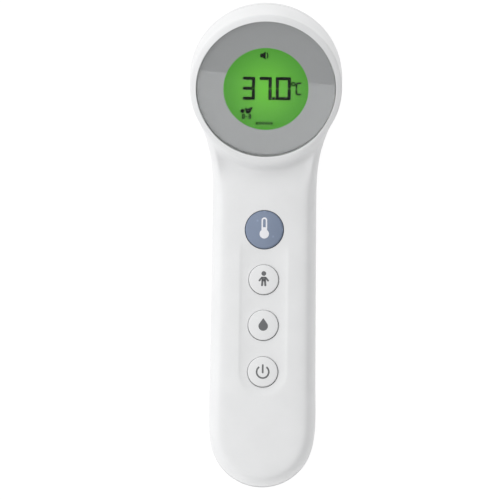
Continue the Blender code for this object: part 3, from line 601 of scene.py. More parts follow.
def lit_display(name, centre, middle, edge, radius):
    """A back-lit liquid crystal display: brightest in the middle, with a faint dot grid."""
    material, tree, shader = new_material(name)
    place = place_of(tree)
    distance = add_node(tree, "VectorMath", {0: place}, operation="LENGTH").outputs["Value"]
    share = ranged(tree, distance, 0.0, radius * MM, 0.0, 1.0)
    ramp = add_node(tree, "ValToRGB", {"Fac": share})
    ramp.color_ramp.interpolation = "B_SPLINE"
    ramp.color_ramp.elements[0].color = (*centre, 1)
    ramp.color_ramp.elements[1].color = (*edge, 1)
    ramp.color_ramp.elements.new(0.55).color = (*middle, 1)
    cells = add_node(tree, "TexVoronoi", {"Vector": place, "Scale": 1 / (0.35 * MM), "Randomness": 0.15})
    dots = ranged(tree, cells.outputs["Distance"], 0.0, 0.7, 0.0, 0.06)
    lit = colour_mix(tree, dots, ramp.outputs["Color"], (0.02, 0.05, 0.02, 1))
    gloss = ranged(tree, noise_of(tree, place, 0.5), 0.3, 0.7, 0.32, 0.4)
    unlit = colour_mix(tree, 0.97, lit, (0, 0, 0, 1))
    set_inputs(tree, shader, {
        "Base Color": unlit, "Roughness": gloss, "Specular IOR Level": 0.0, "Emission Color": lit,
        "Emission Strength": 1.0,
    })
    return material


def circuit_board(name):
    """Green solder mask over copper traces, with bare dots where the holes are plated."""
    material, tree, shader = new_material(name)
    place = place_of(tree)
    lines = {"Scale": 1 / (4 * MM), "Mortar Size": 0.06, "Brick Width": 0.9, "Row Height": 0.28}
    traces = add_node(tree, "TexBrick", {"Vector": place, **lines})
    vias = add_node(tree, "TexVoronoi", {"Vector": place, "Scale": 1 / (2.6 * MM)})
    dots = ranged(tree, vias.outputs["Distance"], 0.10, 0.13, 1.0, 0.0)
    fine = noise_of(tree, place, 0.3)
    mask = colour_mix(tree, fine, (0.012, 0.13, 0.045, 1), (0.02, 0.17, 0.06, 1))
    traced = colour_mix(tree, traces.outputs["Fac"], mask, (0.05, 0.27, 0.10, 1))
    plated = colour_mix(tree, dots, traced, (0.72, 0.66, 0.45, 1))
    gloss = ranged(tree, fine, 0.3, 0.7, 0.3, 0.42)
    relief = add_node(tree, "Bump", {"Height": traces.outputs["Fac"], "Strength": 0.5, "Distance": 0.02 * MM})
    set_inputs(tree, shader, {"Base Color": plated, "Roughness": gloss, "Normal": relief.outputs["Normal"]})
    return material


def cell_film(name):
    """The printed film of a plain battery: a dark body and a copper-coloured band toward the positive end."""
    material, tree, shader = new_material(name)
    place = place_of(tree)
    along = add_node(tree, "SeparateXYZ", {"Vector": place}).outputs["Z"]
    band = ranged(tree, along, -14.1 * MM, -13.9 * MM, 0.0, 1.0)
    scuffs = noise_of(tree, place_of(tree, (1, 1, 0.08)), 0.6, 4.0)
    dark = colour_mix(tree, scuffs, (0.015, 0.04, 0.03, 1), (0.03, 0.07, 0.05, 1))
    bright = colour_mix(tree, scuffs, (0.50, 0.26, 0.11, 1), (0.62, 0.36, 0.18, 1))
    film = colour_mix(tree, band, dark, bright)
    gloss = ranged(tree, scuffs, 0.3, 0.7, 0.22, 0.36)
    relief = add_node(tree, "Bump", {"Height": scuffs, "Strength": 0.3, "Distance": 0.01 * MM})
    set_inputs(tree, shader, {
        "Base Color": film, "Roughness": gloss, "Normal": relief.outputs["Normal"], "Metallic": 0.35,
    })
    return material


# Grain drawn out along the handle, along a cable, and along or round the axis of a metal piece.
ALONG_HANDLE = (1, 0.06, 1)
ALONG_CABLE = (1, 0.05, 1)
ALONG_AXIS = (1, 1, 0.15)
ROUND_AXIS = (0.2, 0.2, 1)
WHITE = moulded("white_abs", (0.80, 0.805, 0.81), 0.42)
NOSE_GREY = moulded("light_grey_abs", (0.56, 0.57, 0.58), 0.45)
CAP_WHITE = moulded("cap_white", (0.80, 0.805, 0.81), 0.40, grain=0.18)
# The blue cap's edges are painted much lighter: a painted highlight along its shoulder, with some rubbed wear.
CAP_BLUE = moulded("cap_blue", (0.21, 0.26, 0.365), 0.38, grain=0.18, mottle=0.03, wear_and_highlight=0.25)
PRINT_GREY = (0.295, 0.297, 0.30)
MASK_GREY = moulded("mask_grey_print", PRINT_GREY, 0.6, 0.1, 0.001, 0.015, 0.0, coat=1.0, specular=0.0)
INK_WHITE = moulded("ink_white", (0.84, 0.84, 0.88), 0.5, grain=0.08, bump=0.003, mottle=0.01)
INK_GREY = moulded("ink_grey", (0.135, 0.14, 0.145), 0.5, grain=0.08, bump=0.003, mottle=0.04)
SEGMENT = moulded("display_segment", (0.012, 0.014, 0.012), 0.5, 0.1, 0.001, 0.1, 0.0, specular=0.0)
BLACK = moulded("black_abs", (0.028, 0.028, 0.032), 0.5, mottle=0.08, wear_and_highlight=0.5)
SILICONE = moulded("grey_silicone", (0.33, 0.34, 0.35), 0.75, grain=0.12, mottle=0.04, wear_and_highlight=0.0)
MILKY = moulded("milky_guide", (0.86, 0.9, 0.87), 0.3, grain=0.5, bump=0.002, coat=0.3)
STEEL = moulded("plated_steel", (0.60, 0.60, 0.61), 0.28, 0.12, 0.004, 0.05, 0.2, ALONG_AXIS, metallic=1.0)
BRASS = moulded("turned_brass", (0.72, 0.53, 0.24), 0.3, 0.1, 0.004, 0.05, 0.15, ROUND_AXIS, metallic=1.0)
RED_WIRE = moulded("red_insulation", (0.50, 0.025, 0.025), 0.42, stretch=ALONG_HANDLE, mottle=0.06)
BLACK_WIRE = moulded("black_insulation", (0.02, 0.02, 0.02), 0.42, stretch=ALONG_HANDLE, mottle=0.1)
AMBER = moulded("amber_film", (0.52, 0.25, 0.045), 0.3, 0.8, 0.004, 0.08, 0.1, ALONG_CABLE, coat=0.4)
BOARD = circuit_board("solder_mask")
CELL = cell_film("battery_film")
CLEAR = clear_acrylic("clear_acrylic", 1.49)
WINDOW_CLEAR = clear_acrylic("coated_acrylic", 1.1)
GREEN = lit_display("lit_green", (0.158, 0.57, 0.055), (0.122, 0.41, 0.058), (0.078, 0.305, 0.04), 13.6)


# ---- Buttons and their dish ----


def middle_of(node):
    """The middle of a CAD node's box, in millimetres."""
    low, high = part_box(node)
    return (low + high) / 2 / MM


# A cap slides in a well in the face, and its flange holds it behind the face. The caps sit a little higher up
# the handle than the CAD caps, and differ a little from them in radius.
BUTTONS = ("measure", "age", "object", "power")
BUTTON_RISE = 0.28
BUTTON_Y = {name: middle_of(f"{name}_button").y + BUTTON_RISE for name in BUTTONS}
FLANGE = 0.6
CAP_RADIUS = {}
for button in BUTTONS:
    cap_low, cap_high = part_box(f"{button}_button")
    CAP_RADIUS[button] = (cap_high.x - cap_low.x) / 2 / MM - FLANGE
CAP_GROWTH = {"measure": 0.14, "age": -0.06, "object": 0.02, "power": 0.02}
TOP_RADIUS = {name: CAP_RADIUS[name] + CAP_GROWTH[name] for name in BUTTONS}
WELL_GAP = 0.16
WELL_SHIFT = (0.03, -0.07)
WELL_LOW = THICKNESS - WALL - 3
LIP = 0.16
LIP_ANGLES = (1.2, 0.8, 0.4, 0)
# How far out along a cap the depth of the dish is taken for its well.
DISH_SAMPLE = 0.7

# The dish that the lower buttons sit in: a shallow trough with a round end, fading out under the top button.
DISH_HALF_WIDTH = 7.65
DISH_DEPTH = 0.64
DISH_ROUNDNESS = 0.64
DISH_FADE = (2.2, -3.6)
DISH_MARGIN = 1.5


def dish_depth(x, y):
    """How far the face is sunk at a place."""
    along = max(y, BUTTON_Y["power"])
    distance = math.hypot(x, y - along)
    inside = max(1 - (distance / DISH_HALF_WIDTH) ** 2, 0.0) ** DISH_ROUNDNESS
    top, full = DISH_FADE
    return DISH_DEPTH * inside * blend(-y, -top, -full)


def sink_dish(shell):
    """Refines the handle's face where the dish is, and lowers it there."""
    bm = bmesh.new()
    bm.from_mesh(shell.data)
    lowest = BUTTON_Y["power"] - DISH_HALF_WIDTH - DISH_MARGIN
    highest = DISH_FADE[0] + DISH_MARGIN
    face_low = THICKNESS - CROWN - 0.2

    def in_region(vert):
        """Whether a point is on the outer face, on or near the dish."""
        x, y, z = vert.co / MM
        return z > face_low and abs(x) < DISH_HALF_WIDTH + DISH_MARGIN and lowest < y < highest

    region = {vert for vert in bm.verts if in_region(vert)}
    edges = [edge for edge in bm.edges if region.issuperset(edge.verts)]
    bmesh.ops.subdivide_edges(bm, edges=edges, cuts=1, use_grid_fill=True)
    for vert in bm.verts:
        if in_region(vert):
            vert.co.z -= dish_depth(vert.co.x / MM, vert.co.y / MM) * MM
    bm.to_mesh(shell.data)
    bm.free()


def well_profile(radius, face):
    """The hole for one cap, with a small rounded lip at the face."""
    lip = [(radius + LIP - LIP * math.cos(a), face - LIP + LIP * math.sin(a)) for a in LIP_ANGLES]
    outer = radius + LIP + 0.25
    above = [(0, face + 1), (outer, face + 1), (outer, face + 0.06)]
    return [*above, *lip, (radius, WELL_LOW), (0, WELL_LOW)]


def well_cutter(name):
    """The space that one cap slides in."""
    y = BUTTON_Y[name]
    face = THICKNESS - dish_depth(CAP_RADIUS[name] * DISH_SAMPLE, y) - 0.03
    cutter = turned_mesh(well_profile(TOP_RADIUS[name] + WELL_GAP, face))
    cutter.transform(Matrix.Translation(Vector((WELL_SHIFT[0], y + WELL_SHIFT[1], 0)) * MM))
    return cutter


# The screw posts under the neck and over the main board, and the ledge that carries the lens.
NECK_BOSS_RADIUS = 2.4
BOARD_BOSS_RADIUS = 1.7
BOSS_TOP = THICKNESS - WALL + 0.6
BOSS_HOLE_TOP = BOSS_TOP - 1.6
LEDGE = (-4.0, -2.6)
LEDGE_OPENING = 20.2


def rod_profile(radius, high, low):
    """The half-section of a plain rod."""
    return [(0, high), (radius, high), (radius, low), (0, low)]


def boss_meshes():
    """The posts inside the front shell that the screws run into, and the holes in them."""
    neck = middle_of("housing_screw_2")
    posts = [(side * neck.x, neck.y, NECK_BOSS_RADIUS, PARTING + 0.4) for side in (-1, 1)]
    for screw in ("tray_screw_1", "tray_screw_2", "main_board_screw"):
        posts.append((0, middle_of(screw).y, BOARD_BOSS_RADIUS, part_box("main_board")[1].z / MM + PARTING_GAP))
    bosses = []
    holes = []
    for x, y, radius, low in posts:
        bosses.append((turned_mesh(rod_profile(radius, BOSS_TOP, low), 32), (x, y, 0)))
        holes.append((turned_mesh(rod_profile(radius / 2, BOSS_HOLE_TOP, low - 1), 24), (x, y, 0)))
    return joined(bosses), joined(holes)


def ledge_mesh():
    """The ring inside the rim that the lens stack rests on."""
    low, high = LEDGE
    outer = RIM_RADIUS - WALL / 2
    section = [(outer, high), (outer, low), (LEDGE_OPENING, low), (LEDGE_OPENING, high)]
    return turned_mesh(section, closed=True)


def make_front_shell():
    """The front half, with its dish, the wells of the caps, the lens's ledge and the screw posts."""
    shell = smooth_shell("front_shell_skin", front_cage())
    sink_dish(shell)
    for name in BUTTONS:
        cut(shell, well_cutter(name))
    cut(shell, ledge_mesh(), "UNION", HEAD)
    bosses, holes = boss_meshes()
    cut(shell, bosses, "UNION")
    cut(shell, holes)
    finish_piece(shell, WHITE, replaces=["front_shell"])


# ---- The back: rear shell, battery door and screws ----

DOOR_TOP_Y = -5.2
DOOR_TOP_Z = 9.0
# The door's latch: a block inside its upper edge, with a tongue that reaches in over the rear shell's edge.
BLOCK_HALF_WIDTH = 2.8
LATCH_HALF_WIDTH = 2.6
LATCH_REACH = 2.5
LATCH_HEIGHT = 1.1
NOSE_BORE = 12.5
# The posts that the housing screws go up through, from the holes for their heads.
SCREW_POST_RADIUS = 2.9
SCREW_POST_FOOT = 2.6
HEAD_HOLE_RADIUS = 2.2
SHAFT_HOLE_RADIUS = 1.25
SCREW_SEAT = 3.2
GROOVES = 3
GROOVE_STEP = 2.2
GROOVE_START = 6.0
GROOVE_HALF_LENGTH = 5.0
GROOVE_RADIUS = 1.1
GROOVE_DEPTH = 0.5


def door_region(gap):
    """The corner of space that the battery door fills, grown by a gap."""
    return box_mesh(((-40, 40), (-100, DOOR_TOP_Y + gap - PARTING_GAP), (-20, DOOR_TOP_Z + gap)))


def make_rear_shell():
    """The back half, with the bore for the nose, the door's opening and the posts of the housing screws."""
    shell = smooth_shell("rear_shell_skin", rear_cage())
    cut(shell, turned_mesh(rod_profile(NOSE_BORE, -20, -40), 128), turned=HEAD)
    cut(shell, door_region(PARTING_GAP))
    neck = middle_of("housing_screw_2")
    sides = [(side * neck.x, neck.y, 0) for side in (-1, 1)]
    top = PARTING - 0.4
    post = [
        (0, top), (SCREW_POST_RADIUS, top), (SCREW_POST_RADIUS, WALL + 1), (SCREW_POST_FOOT, WALL + 1),
        (SCREW_POST_FOOT, WALL - 0.5), (0, WALL - 0.5),
    ]
    cut(shell, joined([(turned_mesh(post, 48), place) for place in sides]), "UNION")
    hole = HEAD_HOLE_RADIUS
    seat = [
        (0, 20), (SHAFT_HOLE_RADIUS, 20), (SHAFT_HOLE_RADIUS, SCREW_SEAT), (hole, SCREW_SEAT), (hole, 0.35),
        (hole + 0.15, 0.12), (hole + 0.4, 0.0), (hole + 0.4, -5), (0, -5),
    ]
    cut(shell, joined([(turned_mesh(seat, 48), place) for place in sides]))
    finish_piece(shell, WHITE, replaces=["rear_shell"])


def groove_mesh(y):
    """A finger groove across the door: a shallow round trough with round ends."""
    end = GROOVE_HALF_LENGTH - GROOVE_RADIUS
    profile = [*arc((0, end), GROOVE_RADIUS, 90, 0, 8), *arc((0, -end), GROOVE_RADIUS, 0, -90, 8)]
    mesh = turned_mesh(profile, 32)
    mesh.transform(Matrix.Rotation(math.pi / 2, 4, "Y"))
    mesh.transform(Matrix.Translation(Vector((0, y, GROOVE_DEPTH - GROOVE_RADIUS)) * MM))
    return mesh


def make_battery_door():
    """The sliding door over the cells, with its latch and its finger grooves."""
    door = smooth_shell("battery_door_skin", rear_cage())
    cut(door, door_region(0), "INTERSECT")
    y = DOOR_TOP_Y
    block = ((-BLOCK_HALF_WIDTH, BLOCK_HALF_WIDTH), (y - 3, y - 0.6), (WALL / 2, WALL + 1.2))
    tongue_heights = (WALL + PARTING_GAP, WALL + LATCH_HEIGHT)
    tongue = ((-LATCH_HALF_WIDTH, LATCH_HALF_WIDTH), (y - 2, y + LATCH_REACH), tongue_heights)
    cut(door, box_mesh(block, 0.15), "UNION")
    cut(door, box_mesh(tongue, 0.2), "UNION")
    for groove in range(GROOVES):
        cut(door, groove_mesh(y - GROOVE_START - GROOVE_STEP * groove))
    finish_piece(door, WHITE, "battery_door", ["battery_door"])


# For each screw the radius and height of its head, then the radius and length of its shaft.
SCREWS = {
    "housing_screw_1": (1.9, 1.4, 0.9, 15.0),
    "housing_screw_2": (1.9, 1.4, 0.9, 15.0),
    "tray_screw_1": (1.5, 1.1, 0.55, 4.6),
    "tray_screw_2": (1.5, 1.1, 0.55, 4.6),
    "main_board_screw": (1.2, 0.9, 0.55, 3.4),
}
DISPLAY_SCREW = (1.6, 1.0, 0.8, 4.0)
BOARD_SCREW_REACH = 17.8
BOARD_SCREW_ANGLES = (0, 90, 180)
BOARD_UNDERSIDE = -9.0
THREAD_PITCH = 0.5
HEAD_ANGLES = (0, 0.3, 0.6, 0.9, 1.2)


def screw_mesh(head_radius, head_height, shaft_radius, shaft_length):
    """A cross-head screw that points up, with a threaded shaft. Its head's underside is at zero."""
    shaft = [(0, shaft_length), (shaft_radius * 0.35, shaft_length)]
    turns = int((shaft_length - 1.2) / THREAD_PITCH)
    for turn in range(turns):
        height = shaft_length - 0.8 - turn * THREAD_PITCH
        shaft += [(shaft_radius * 0.78, height), (shaft_radius, height - THREAD_PITCH / 2)]
    heights = [-head_height * (0.45 + 0.55 * math.sin(a)) for a in HEAD_ANGLES]
    dome = [(head_radius * math.cos(a), height) for a, height in zip(HEAD_ANGLES, heights)]
    profile = [*shaft, (shaft_radius * 0.8, 0.3), (shaft_radius * 0.8, 0), (head_radius, 0), *dome]
    return turned_mesh([*profile, (0, -head_height)], 40)


def make_screw(name, sizes, at, turned=None):
    """One screw, with a cross cut into its head."""
    head_radius, head_height = sizes[:2]
    screw = add_object(f"{name}_skin", screw_mesh(*sizes), at, turned)
    frame_of = screw.matrix_world.copy()
    long, wide = head_radius * 0.55, head_radius * 0.13
    for x, y in ((long, wide), (wide, long)):
        cut(screw, box_mesh(((-x, x), (-y, y), (-head_height - 1, 0.5 - head_height)), 0.04), turned=frame_of)
    finish_piece(screw, STEEL, replaces=[name])


def make_screws():
    """The screws of the housing, the tray and the main board, and those of the display board."""
    for name, sizes in SCREWS.items():
        low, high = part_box(name)
        x, y, _ = (low + high) / 2 / MM
        make_screw(name, sizes, (x, y, low.z / MM + sizes[1]))
    for number, angle in enumerate(BOARD_SCREW_ANGLES, 1):
        x = BOARD_SCREW_REACH * math.cos(math.radians(angle))
        y = BOARD_SCREW_REACH * math.sin(math.radians(angle))
        place = (x, y, BOARD_UNDERSIDE - PARTING_GAP)
        make_screw(f"display_screw_{number}", DISPLAY_SCREW, place, HEAD)


# ---- Button caps and their printed symbols ----

STROKE_STEPS = 6
PRINT_RISE = 0.03
FLANGE_THICKNESS = 0.6
FLANGE_DROP = 0.35
STEM_RADIUS = 2.5
EDGE_BREAK = 0.05


def stroke(start, end, width):
    """The outline of a straight stroke with round ends."""
    (x0, y0), (x1, y1) = start, end
    heading = math.degrees(math.atan2(y1 - y0, x1 - x0))
    far = arc(end, width / 2, heading - 90, heading + 90, STROKE_STEPS)
    near = arc(start, width / 2, heading + 90, heading + 270, STROKE_STEPS)
    return far + near


def disc(centre, radius, steps=32):
    """The outline of a circle."""
    return arc(centre, radius, 0, 360 - 360 / steps, steps - 1)


def thermometer_symbol():
    """A bulb and a stem in one outline, and the empty part of the tube."""
    bulb, bulb_radius, stem, top = (0, -1.36), 1.5, 0.9, 3.0
    opening = math.degrees(math.asin(stem / bulb_radius))
    outline = arc((0, top), stem, 0, 180, 16) + arc(bulb, bulb_radius, 90 + opening, 450 - opening, 40)
    tube = arc((0, top - 0.05), 0.45, 0, 180, 12) + [(-0.45, 0.75), (0.45, 0.75)]
    return [[outline, tube]]


def child_symbol():
    """A standing child with spread arms and legs."""
    shapes = [[disc((0, 1.95), 0.75)]]
    for side in (-1, 1):
        shapes.append([stroke((side * 0.62, 0.62), (side * 1.38, -0.30), 0.58)])
        shapes.append([stroke((side * 0.38, -0.2), (side * 0.52, -1.8), 0.66)])
    shoulders = arc((0.45, 0.62), 0.3, 0, 90, 5) + arc((-0.45, 0.62), 0.3, 90, 180, 5)
    shapes.append([[*shoulders, (-0.6, -0.5), (0.6, -0.5)]])
    return shapes


def drop_symbol():
    """A round belly whose straight flanks run up to a point, touching the circle."""
    radius, tip = 1.5, 2.3
    centre = -0.27
    flank = math.degrees(math.asin(radius / (tip - centre)))
    return [[[(0, tip), *arc((0, centre), radius, 180 - flank, 360 + flank, 40)]]]


def power_symbol():
    """A ring that is open at the top, and a bar in the opening."""
    radius, width, opening = 1.95, 0.52, 36
    outer = arc((0, -0.05), radius + width / 2, 90 + opening, 450 - opening, 48)
    inner = arc((0, -0.05), radius - width / 2, 450 - opening, 90 + opening, 48)
    return [[outer + inner], [stroke((0, 2.15), (0, -0.25), 0.54)]]


SYMBOLS = {
    "measure": (thermometer_symbol, INK_WHITE),
    "age": (child_symbol, INK_GREY),
    "object": (drop_symbol, INK_GREY),
    "power": (power_symbol, INK_GREY),
}
# The look of a cap, the radius of its shoulder and the rise of its dome.
WHITE_CAP = (CAP_WHITE, "button_white", 0.45, 0.3)
CAPS = {
    "measure": (CAP_BLUE, "button_blue", 0.9, 0.7),
    "age": WHITE_CAP,
    "object": WHITE_CAP,
    "power": WHITE_CAP,
}
DOME_STEPS = 24


def dome_points(radius, edge, crown):
    """A domed top from its middle out."""
    shares = [step / DOME_STEPS for step in range(DOME_STEPS)]
    return [(radius * share, edge + crown * (1 - share**2)) for share in shares]


def make_cap(name):
    """One button cap and the symbol printed on its dome."""
    node = f"{name}_button"
    material, slot, shoulder, crown = CAPS[name]
    low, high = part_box(node)
    bottom = low.z / MM
    edge = high.z / MM - crown
    radius = TOP_RADIUS[name]
    dome = dome_points(radius - shoulder, edge, crown)
    flange_top = THICKNESS - WALL - FLANGE_DROP
    flange_low = flange_top - FLANGE_THICKNESS
    flange = CAP_RADIUS[name] + FLANGE
    profile = [
        *dome, *arc((radius - shoulder, edge - shoulder), shoulder, 90, 0, 7),
        (radius, flange_top + 2 * EDGE_BREAK), (radius + EDGE_BREAK, flange_top),
        (flange - EDGE_BREAK, flange_top), (flange, flange_top - EDGE_BREAK),
        (flange, flange_low + EDGE_BREAK), (flange - EDGE_BREAK, flange_low), (STEM_RADIUS + 0.1, flange_low),
        (STEM_RADIUS, bottom + EDGE_BREAK), (STEM_RADIUS - EDGE_BREAK, bottom), (0, bottom),
    ]
    y = BUTTON_Y[name]
    cap = add_object(f"{name}_cap", turned_mesh(profile), (0, y, 0))
    finish_piece(cap, material, node, [node])
    symbol, ink = SYMBOLS[name]
    skin = [(at, height + PRINT_RISE) for at, height in dome]
    below = [(at, height - 2 * PRINT_RISE) for at, height in reversed(skin)]
    for number, outlines in enumerate(symbol(), 1):
        mark = add_object(f"{name}_symbol_{number}", plate_mesh(outlines, edge - 1, edge + 1), (0, y, 0))
        cut(mark, turned_mesh(skin + below), "INTERSECT", mark.matrix_world.copy())
        finish_piece(mark, ink, node)


# ---- The display ----

# Heights are from the rim, in the head's frame.
LENS_RADIUS = 22.15
LENS_TOP = -0.15
LENS_LOW = -1.1
LENS_BEVEL = 0.12
MASK = (-1.35, -1.2)
WINDOW_RADIUS = 13.6
WINDOW_DROP = 0.25
GLASS = (-4.6, -1.6)
GLASS_HALF = 14.0
INK = (GLASS[1] + 0.01, GLASS[1] + 0.05)
# The reading. A negative gap lets the bars of a digit run into each other.
DIGIT_WIDTH = 4.88
DIGIT_HEIGHT = 7.72
DIGIT_STROKE = 1.08
DIGIT_LIFT = 0.08
SEGMENT_GAP = -0.14
MIDDLE_GAP = 0.08
DIGIT_BASE = DIGIT_LIFT - DIGIT_HEIGHT / 2
POINT_RADIUS = 0.57
# Which of the seven segments each digit lights: top, upper right, lower right, bottom, lower left, upper
# left and middle.
DIGITS = {"3": "1111001", "7": "1110000", "0": "1111110"}
# Each digit of the reading, and where its left edge is.
READING = (("3", -8.32), ("7", -3.0), ("0", 3.1))
# The age range: the lower, middle and upper height of its figures, and the left and right of each of them.
FIGURE_STROKE = 0.42
FIGURE_HEIGHTS = (-9.9, -9.3, -8.7)
ZERO_SIDES = (-7.4, -6.8)
THREE_SIDES = (-5.4, -4.8)
DASH_SIDES = (-6.25, -5.95)
BLOCKS = 6
BLOCK_STEP = 0.95


def segment(start, end, width):
    """One display segment: a bar with bevelled corners."""
    (x0, y0), (x1, y1) = start, end
    nip = width * 0.22
    if abs(x1 - x0) > abs(y1 - y0):
        half = width / 2
        return [(x0, y0 - half + nip), (x0 + nip, y0 - half), (x1 - nip, y0 - half), (x1, y0 - half + nip),
                (x1, y0 + half - nip), (x1 - nip, y0 + half), (x0 + nip, y0 + half), (x0, y0 + half - nip)]
    return [(y, x) for x, y in segment((y0, x0), (y1, x1), width)]


def seven_segments(left, base, width, height, thick):
    """The seven segments of a digit cell, clockwise from the top, with the middle one last."""
    right = left + width - thick / 2
    near = left + thick / 2
    top = base + height - thick / 2
    low = base + thick / 2
    middle = base + height / 2
    inward = thick / 2 + SEGMENT_GAP
    across = near + inward, right - inward
    reach = thick * 0.48
    return [
        segment((across[0], top), (across[1], top), thick),
        segment((right, middle + MIDDLE_GAP), (right, top + reach), thick),
        segment((right, low - reach), (right, middle - MIDDLE_GAP), thick),
        segment((across[0], low), (across[1], low), thick),
        segment((near, low - reach), (near, middle - MIDDLE_GAP), thick),
        segment((near, middle + MIDDLE_GAP), (near, top + reach), thick),
        segment((across[0], middle), (across[1], middle), thick),
    ]


def reading_shapes():
    """The digits of the reading and the decimal point."""
    shapes = []
    for digit, left in READING:
        bars = seven_segments(left, DIGIT_BASE, DIGIT_WIDTH, DIGIT_HEIGHT, DIGIT_STROKE)
        shapes += [[bar] for bar, lit in zip(bars, DIGITS[digit]) if lit == "1"]
    shapes.append([disc((2.5, DIGIT_BASE + 0.56), POINT_RADIUS)])
    return shapes


def unit_shapes():
    """The degree ring and a C made of four thin bars."""
    thin = 0.6
    degree = (8.75, 1.63)
    left, right, top, low = 9.72, 11.3, 1.9, -1.78
    middle = (top + low) / 2
    return [
        [disc(degree, 0.76), disc(degree, 0.3)],
        [segment((left, top), (right, top), thin)],
        [segment((left, middle + 0.1), (left, top - 0.1), thin)],
        [segment((left, low + 0.1), (left, middle - 0.1), thin)],
        [segment((left, low), (right, low), thin)],
    ]


def speaker_shapes():
    """A loudspeaker with one sound wave."""
    x, y = -0.6, 11.0
    horn = [(x - 1.35, y - 0.65), (x - 0.55, y - 0.65), (x + 0.42, y - 1.35), (x + 0.42, y + 1.35),
            (x - 0.55, y + 0.65), (x - 1.35, y + 0.65)]
    wave = arc((x - 0.3, y), 1.6, -42, 42, 10) + arc((x - 0.3, y), 1.2, 42, -42, 10)
    return [[horn], [wave]]


def infant_shapes():
    """An infant lying on its back: a head, a body and raised legs."""
    x, y = -5.5, -7.3
    arm = [(x - 0.75, y - 0.9), (x - 1.0, y), (x - 1.25, y + 0.85), (x - 0.75, y + 1.0), (x - 0.3, y + 0.5)]
    leg = [(x + 0.1, y + 0.7), (x + 0.45, y + 1.1), (x + 1.35, y + 1.15), (x + 1.3, y + 0.6)]
    seat = [(x + 1.0, y + 0.3), (x + 0.8, y - 0.55), (x, y - 1.1)]
    return [[disc((x - 1.9, y - 0.2), 0.72)], [[*arm, *leg, *seat]]]


def age_bar_shapes():
    """The age range from 0 to 3 in small figures under the infant, and a row of blocks below it."""
    low, middle, high = FIGURE_HEIGHTS
    figures = []
    for (left, right), bars in ((ZERO_SIDES, (low, high)), (THREE_SIDES, FIGURE_HEIGHTS)):
        figures += [[stroke((left, y), (right, y), FIGURE_STROKE)] for y in bars]
        figures.append([stroke((right, low), (right, high), FIGURE_STROKE)])
    zero_left = ZERO_SIDES[0]
    figures.append([stroke((zero_left, low), (zero_left, high), FIGURE_STROKE)])
    dash = [stroke(*[(x, middle) for x in DASH_SIDES], 0.35)]
    places = [-2.8 + BLOCK_STEP * number for number in range(BLOCKS)]
    blocks = [[segment((x, -12.0), (x, -11.0), 0.62)] for x in places]
    return [*figures, dash, *blocks]


LCD_SHAPES = {
    "reading": reading_shapes,
    "degree_unit": unit_shapes,
    "speaker_mark": speaker_shapes,
    "infant_mark": infant_shapes,
    "age_bars": age_bar_shapes,
}


def make_display():
    """The lens, the printed mask round the window, the display glass and what it shows."""
    edge = LENS_RADIUS - LENS_BEVEL
    lens = [
        (0, LENS_TOP), *arc((edge, LENS_TOP - LENS_BEVEL), LENS_BEVEL, 90, 0, 5),
        *arc((edge, LENS_LOW + LENS_BEVEL), LENS_BEVEL, 0, -90, 5), (0, LENS_LOW),
    ]
    piece = add_object("display_lens_skin", turned_mesh(lens, 160), turned=HEAD)
    piece.visible_shadow = False
    finish_piece(piece, WINDOW_CLEAR, replaces=["display_lens"])
    window = (0, -WINDOW_DROP)
    ring = plate_mesh([disc((0, 0), LENS_RADIUS, 160), disc(window, WINDOW_RADIUS, 160)], *MASK)
    piece = add_object("display_mask_skin", ring, turned=HEAD)
    finish_piece(piece, MASK_GREY, replaces=["display_mask"])
    side = (-GLASS_HALF, GLASS_HALF)
    screen = HEAD @ Matrix.Translation(Vector((*window, 0)) * MM)
    piece = add_object("lcd_glass_skin", box_mesh((side, side, GLASS), 0.15), turned=screen)
    finish_piece(piece, GREEN, replaces=["lcd_glass"])
    for name, shapes in LCD_SHAPES.items():
        plates = [(plate_mesh(outlines, *INK), (0, 0, 0)) for outlines in shapes()]
        finish_piece(add_object(name, joined(plates), turned=screen), SEGMENT)


# Heights are from the rim, in the head's frame. The seat holds the sensor's window.
NOSE_END = -33.8
NOSE_FLANGE = (-22.2, -23.6)
NOSE_SEAT = (-26.2, -27.6)
SIGHT_RADIUS = 8.0
PIPE_HOLE_REACH = 9.2
PIPE_HOLE_RADIUS = 1.05


def make_nose():
    """The sensor's nose: a turned shroud with a dished front and a hole for the light pipe."""
    flange_high, flange_low = NOSE_FLANGE
    seat_high, seat_low = NOSE_SEAT
    taper = [(12.1, -27.2), (12.08, -28.6), (11.98, -30.0), (11.8, -31.4)]
    profile = [
        (14.0, flange_high), (14.0, flange_low), (12.1, flange_low), *taper,
        *arc((10.6, NOSE_END + 0.9), 0.95, 20, -80, 8), (SIGHT_RADIUS, NOSE_END),
        *arc((SIGHT_RADIUS, NOSE_END + 0.3), 0.3, -90, -130, 3), (3.7, -28.75), (3.5, -28.5), (3.4, seat_low),
        (4.4, seat_low), (4.4, seat_high), (10.6, seat_high), (10.6, flange_high),
    ]
    nose = add_object("sensor_nose_skin", turned_mesh(profile, 128, closed=True), turned=HEAD)
    wide = PIPE_HOLE_RADIUS + 0.2
    hole = turned_mesh([
        (0, -25), (PIPE_HOLE_RADIUS, -25), (PIPE_HOLE_RADIUS, NOSE_END + 0.15), (wide, NOSE_END),
        (wide, NOSE_END - 2), (0, NOSE_END - 2),
    ], 40)
    hole.transform(Matrix.Translation((0, PIPE_HOLE_REACH * MM, 0)))
    cut(nose, hole, turned=HEAD)
    finish_piece(nose, NOSE_GREY, replaces=["sensor_nose"])


# ---- Inside: the cells, their springs, and the CAD pieces that keep their shape ----

CELL_RADIUS = 7.0
CELL_LENGTH = 50.5
TIP_RADIUS = 2.7
TIP_HEIGHT = 1.15
CELL_SHOULDER = 0.9
CELL_ROLL = 0.6
SPRING_RADIUS = 0.35
SPRING_FOOT = 4.6
SPRING_TIP = 2.4
SPRING_TURNS = 3
SPRING_STEPS = 40


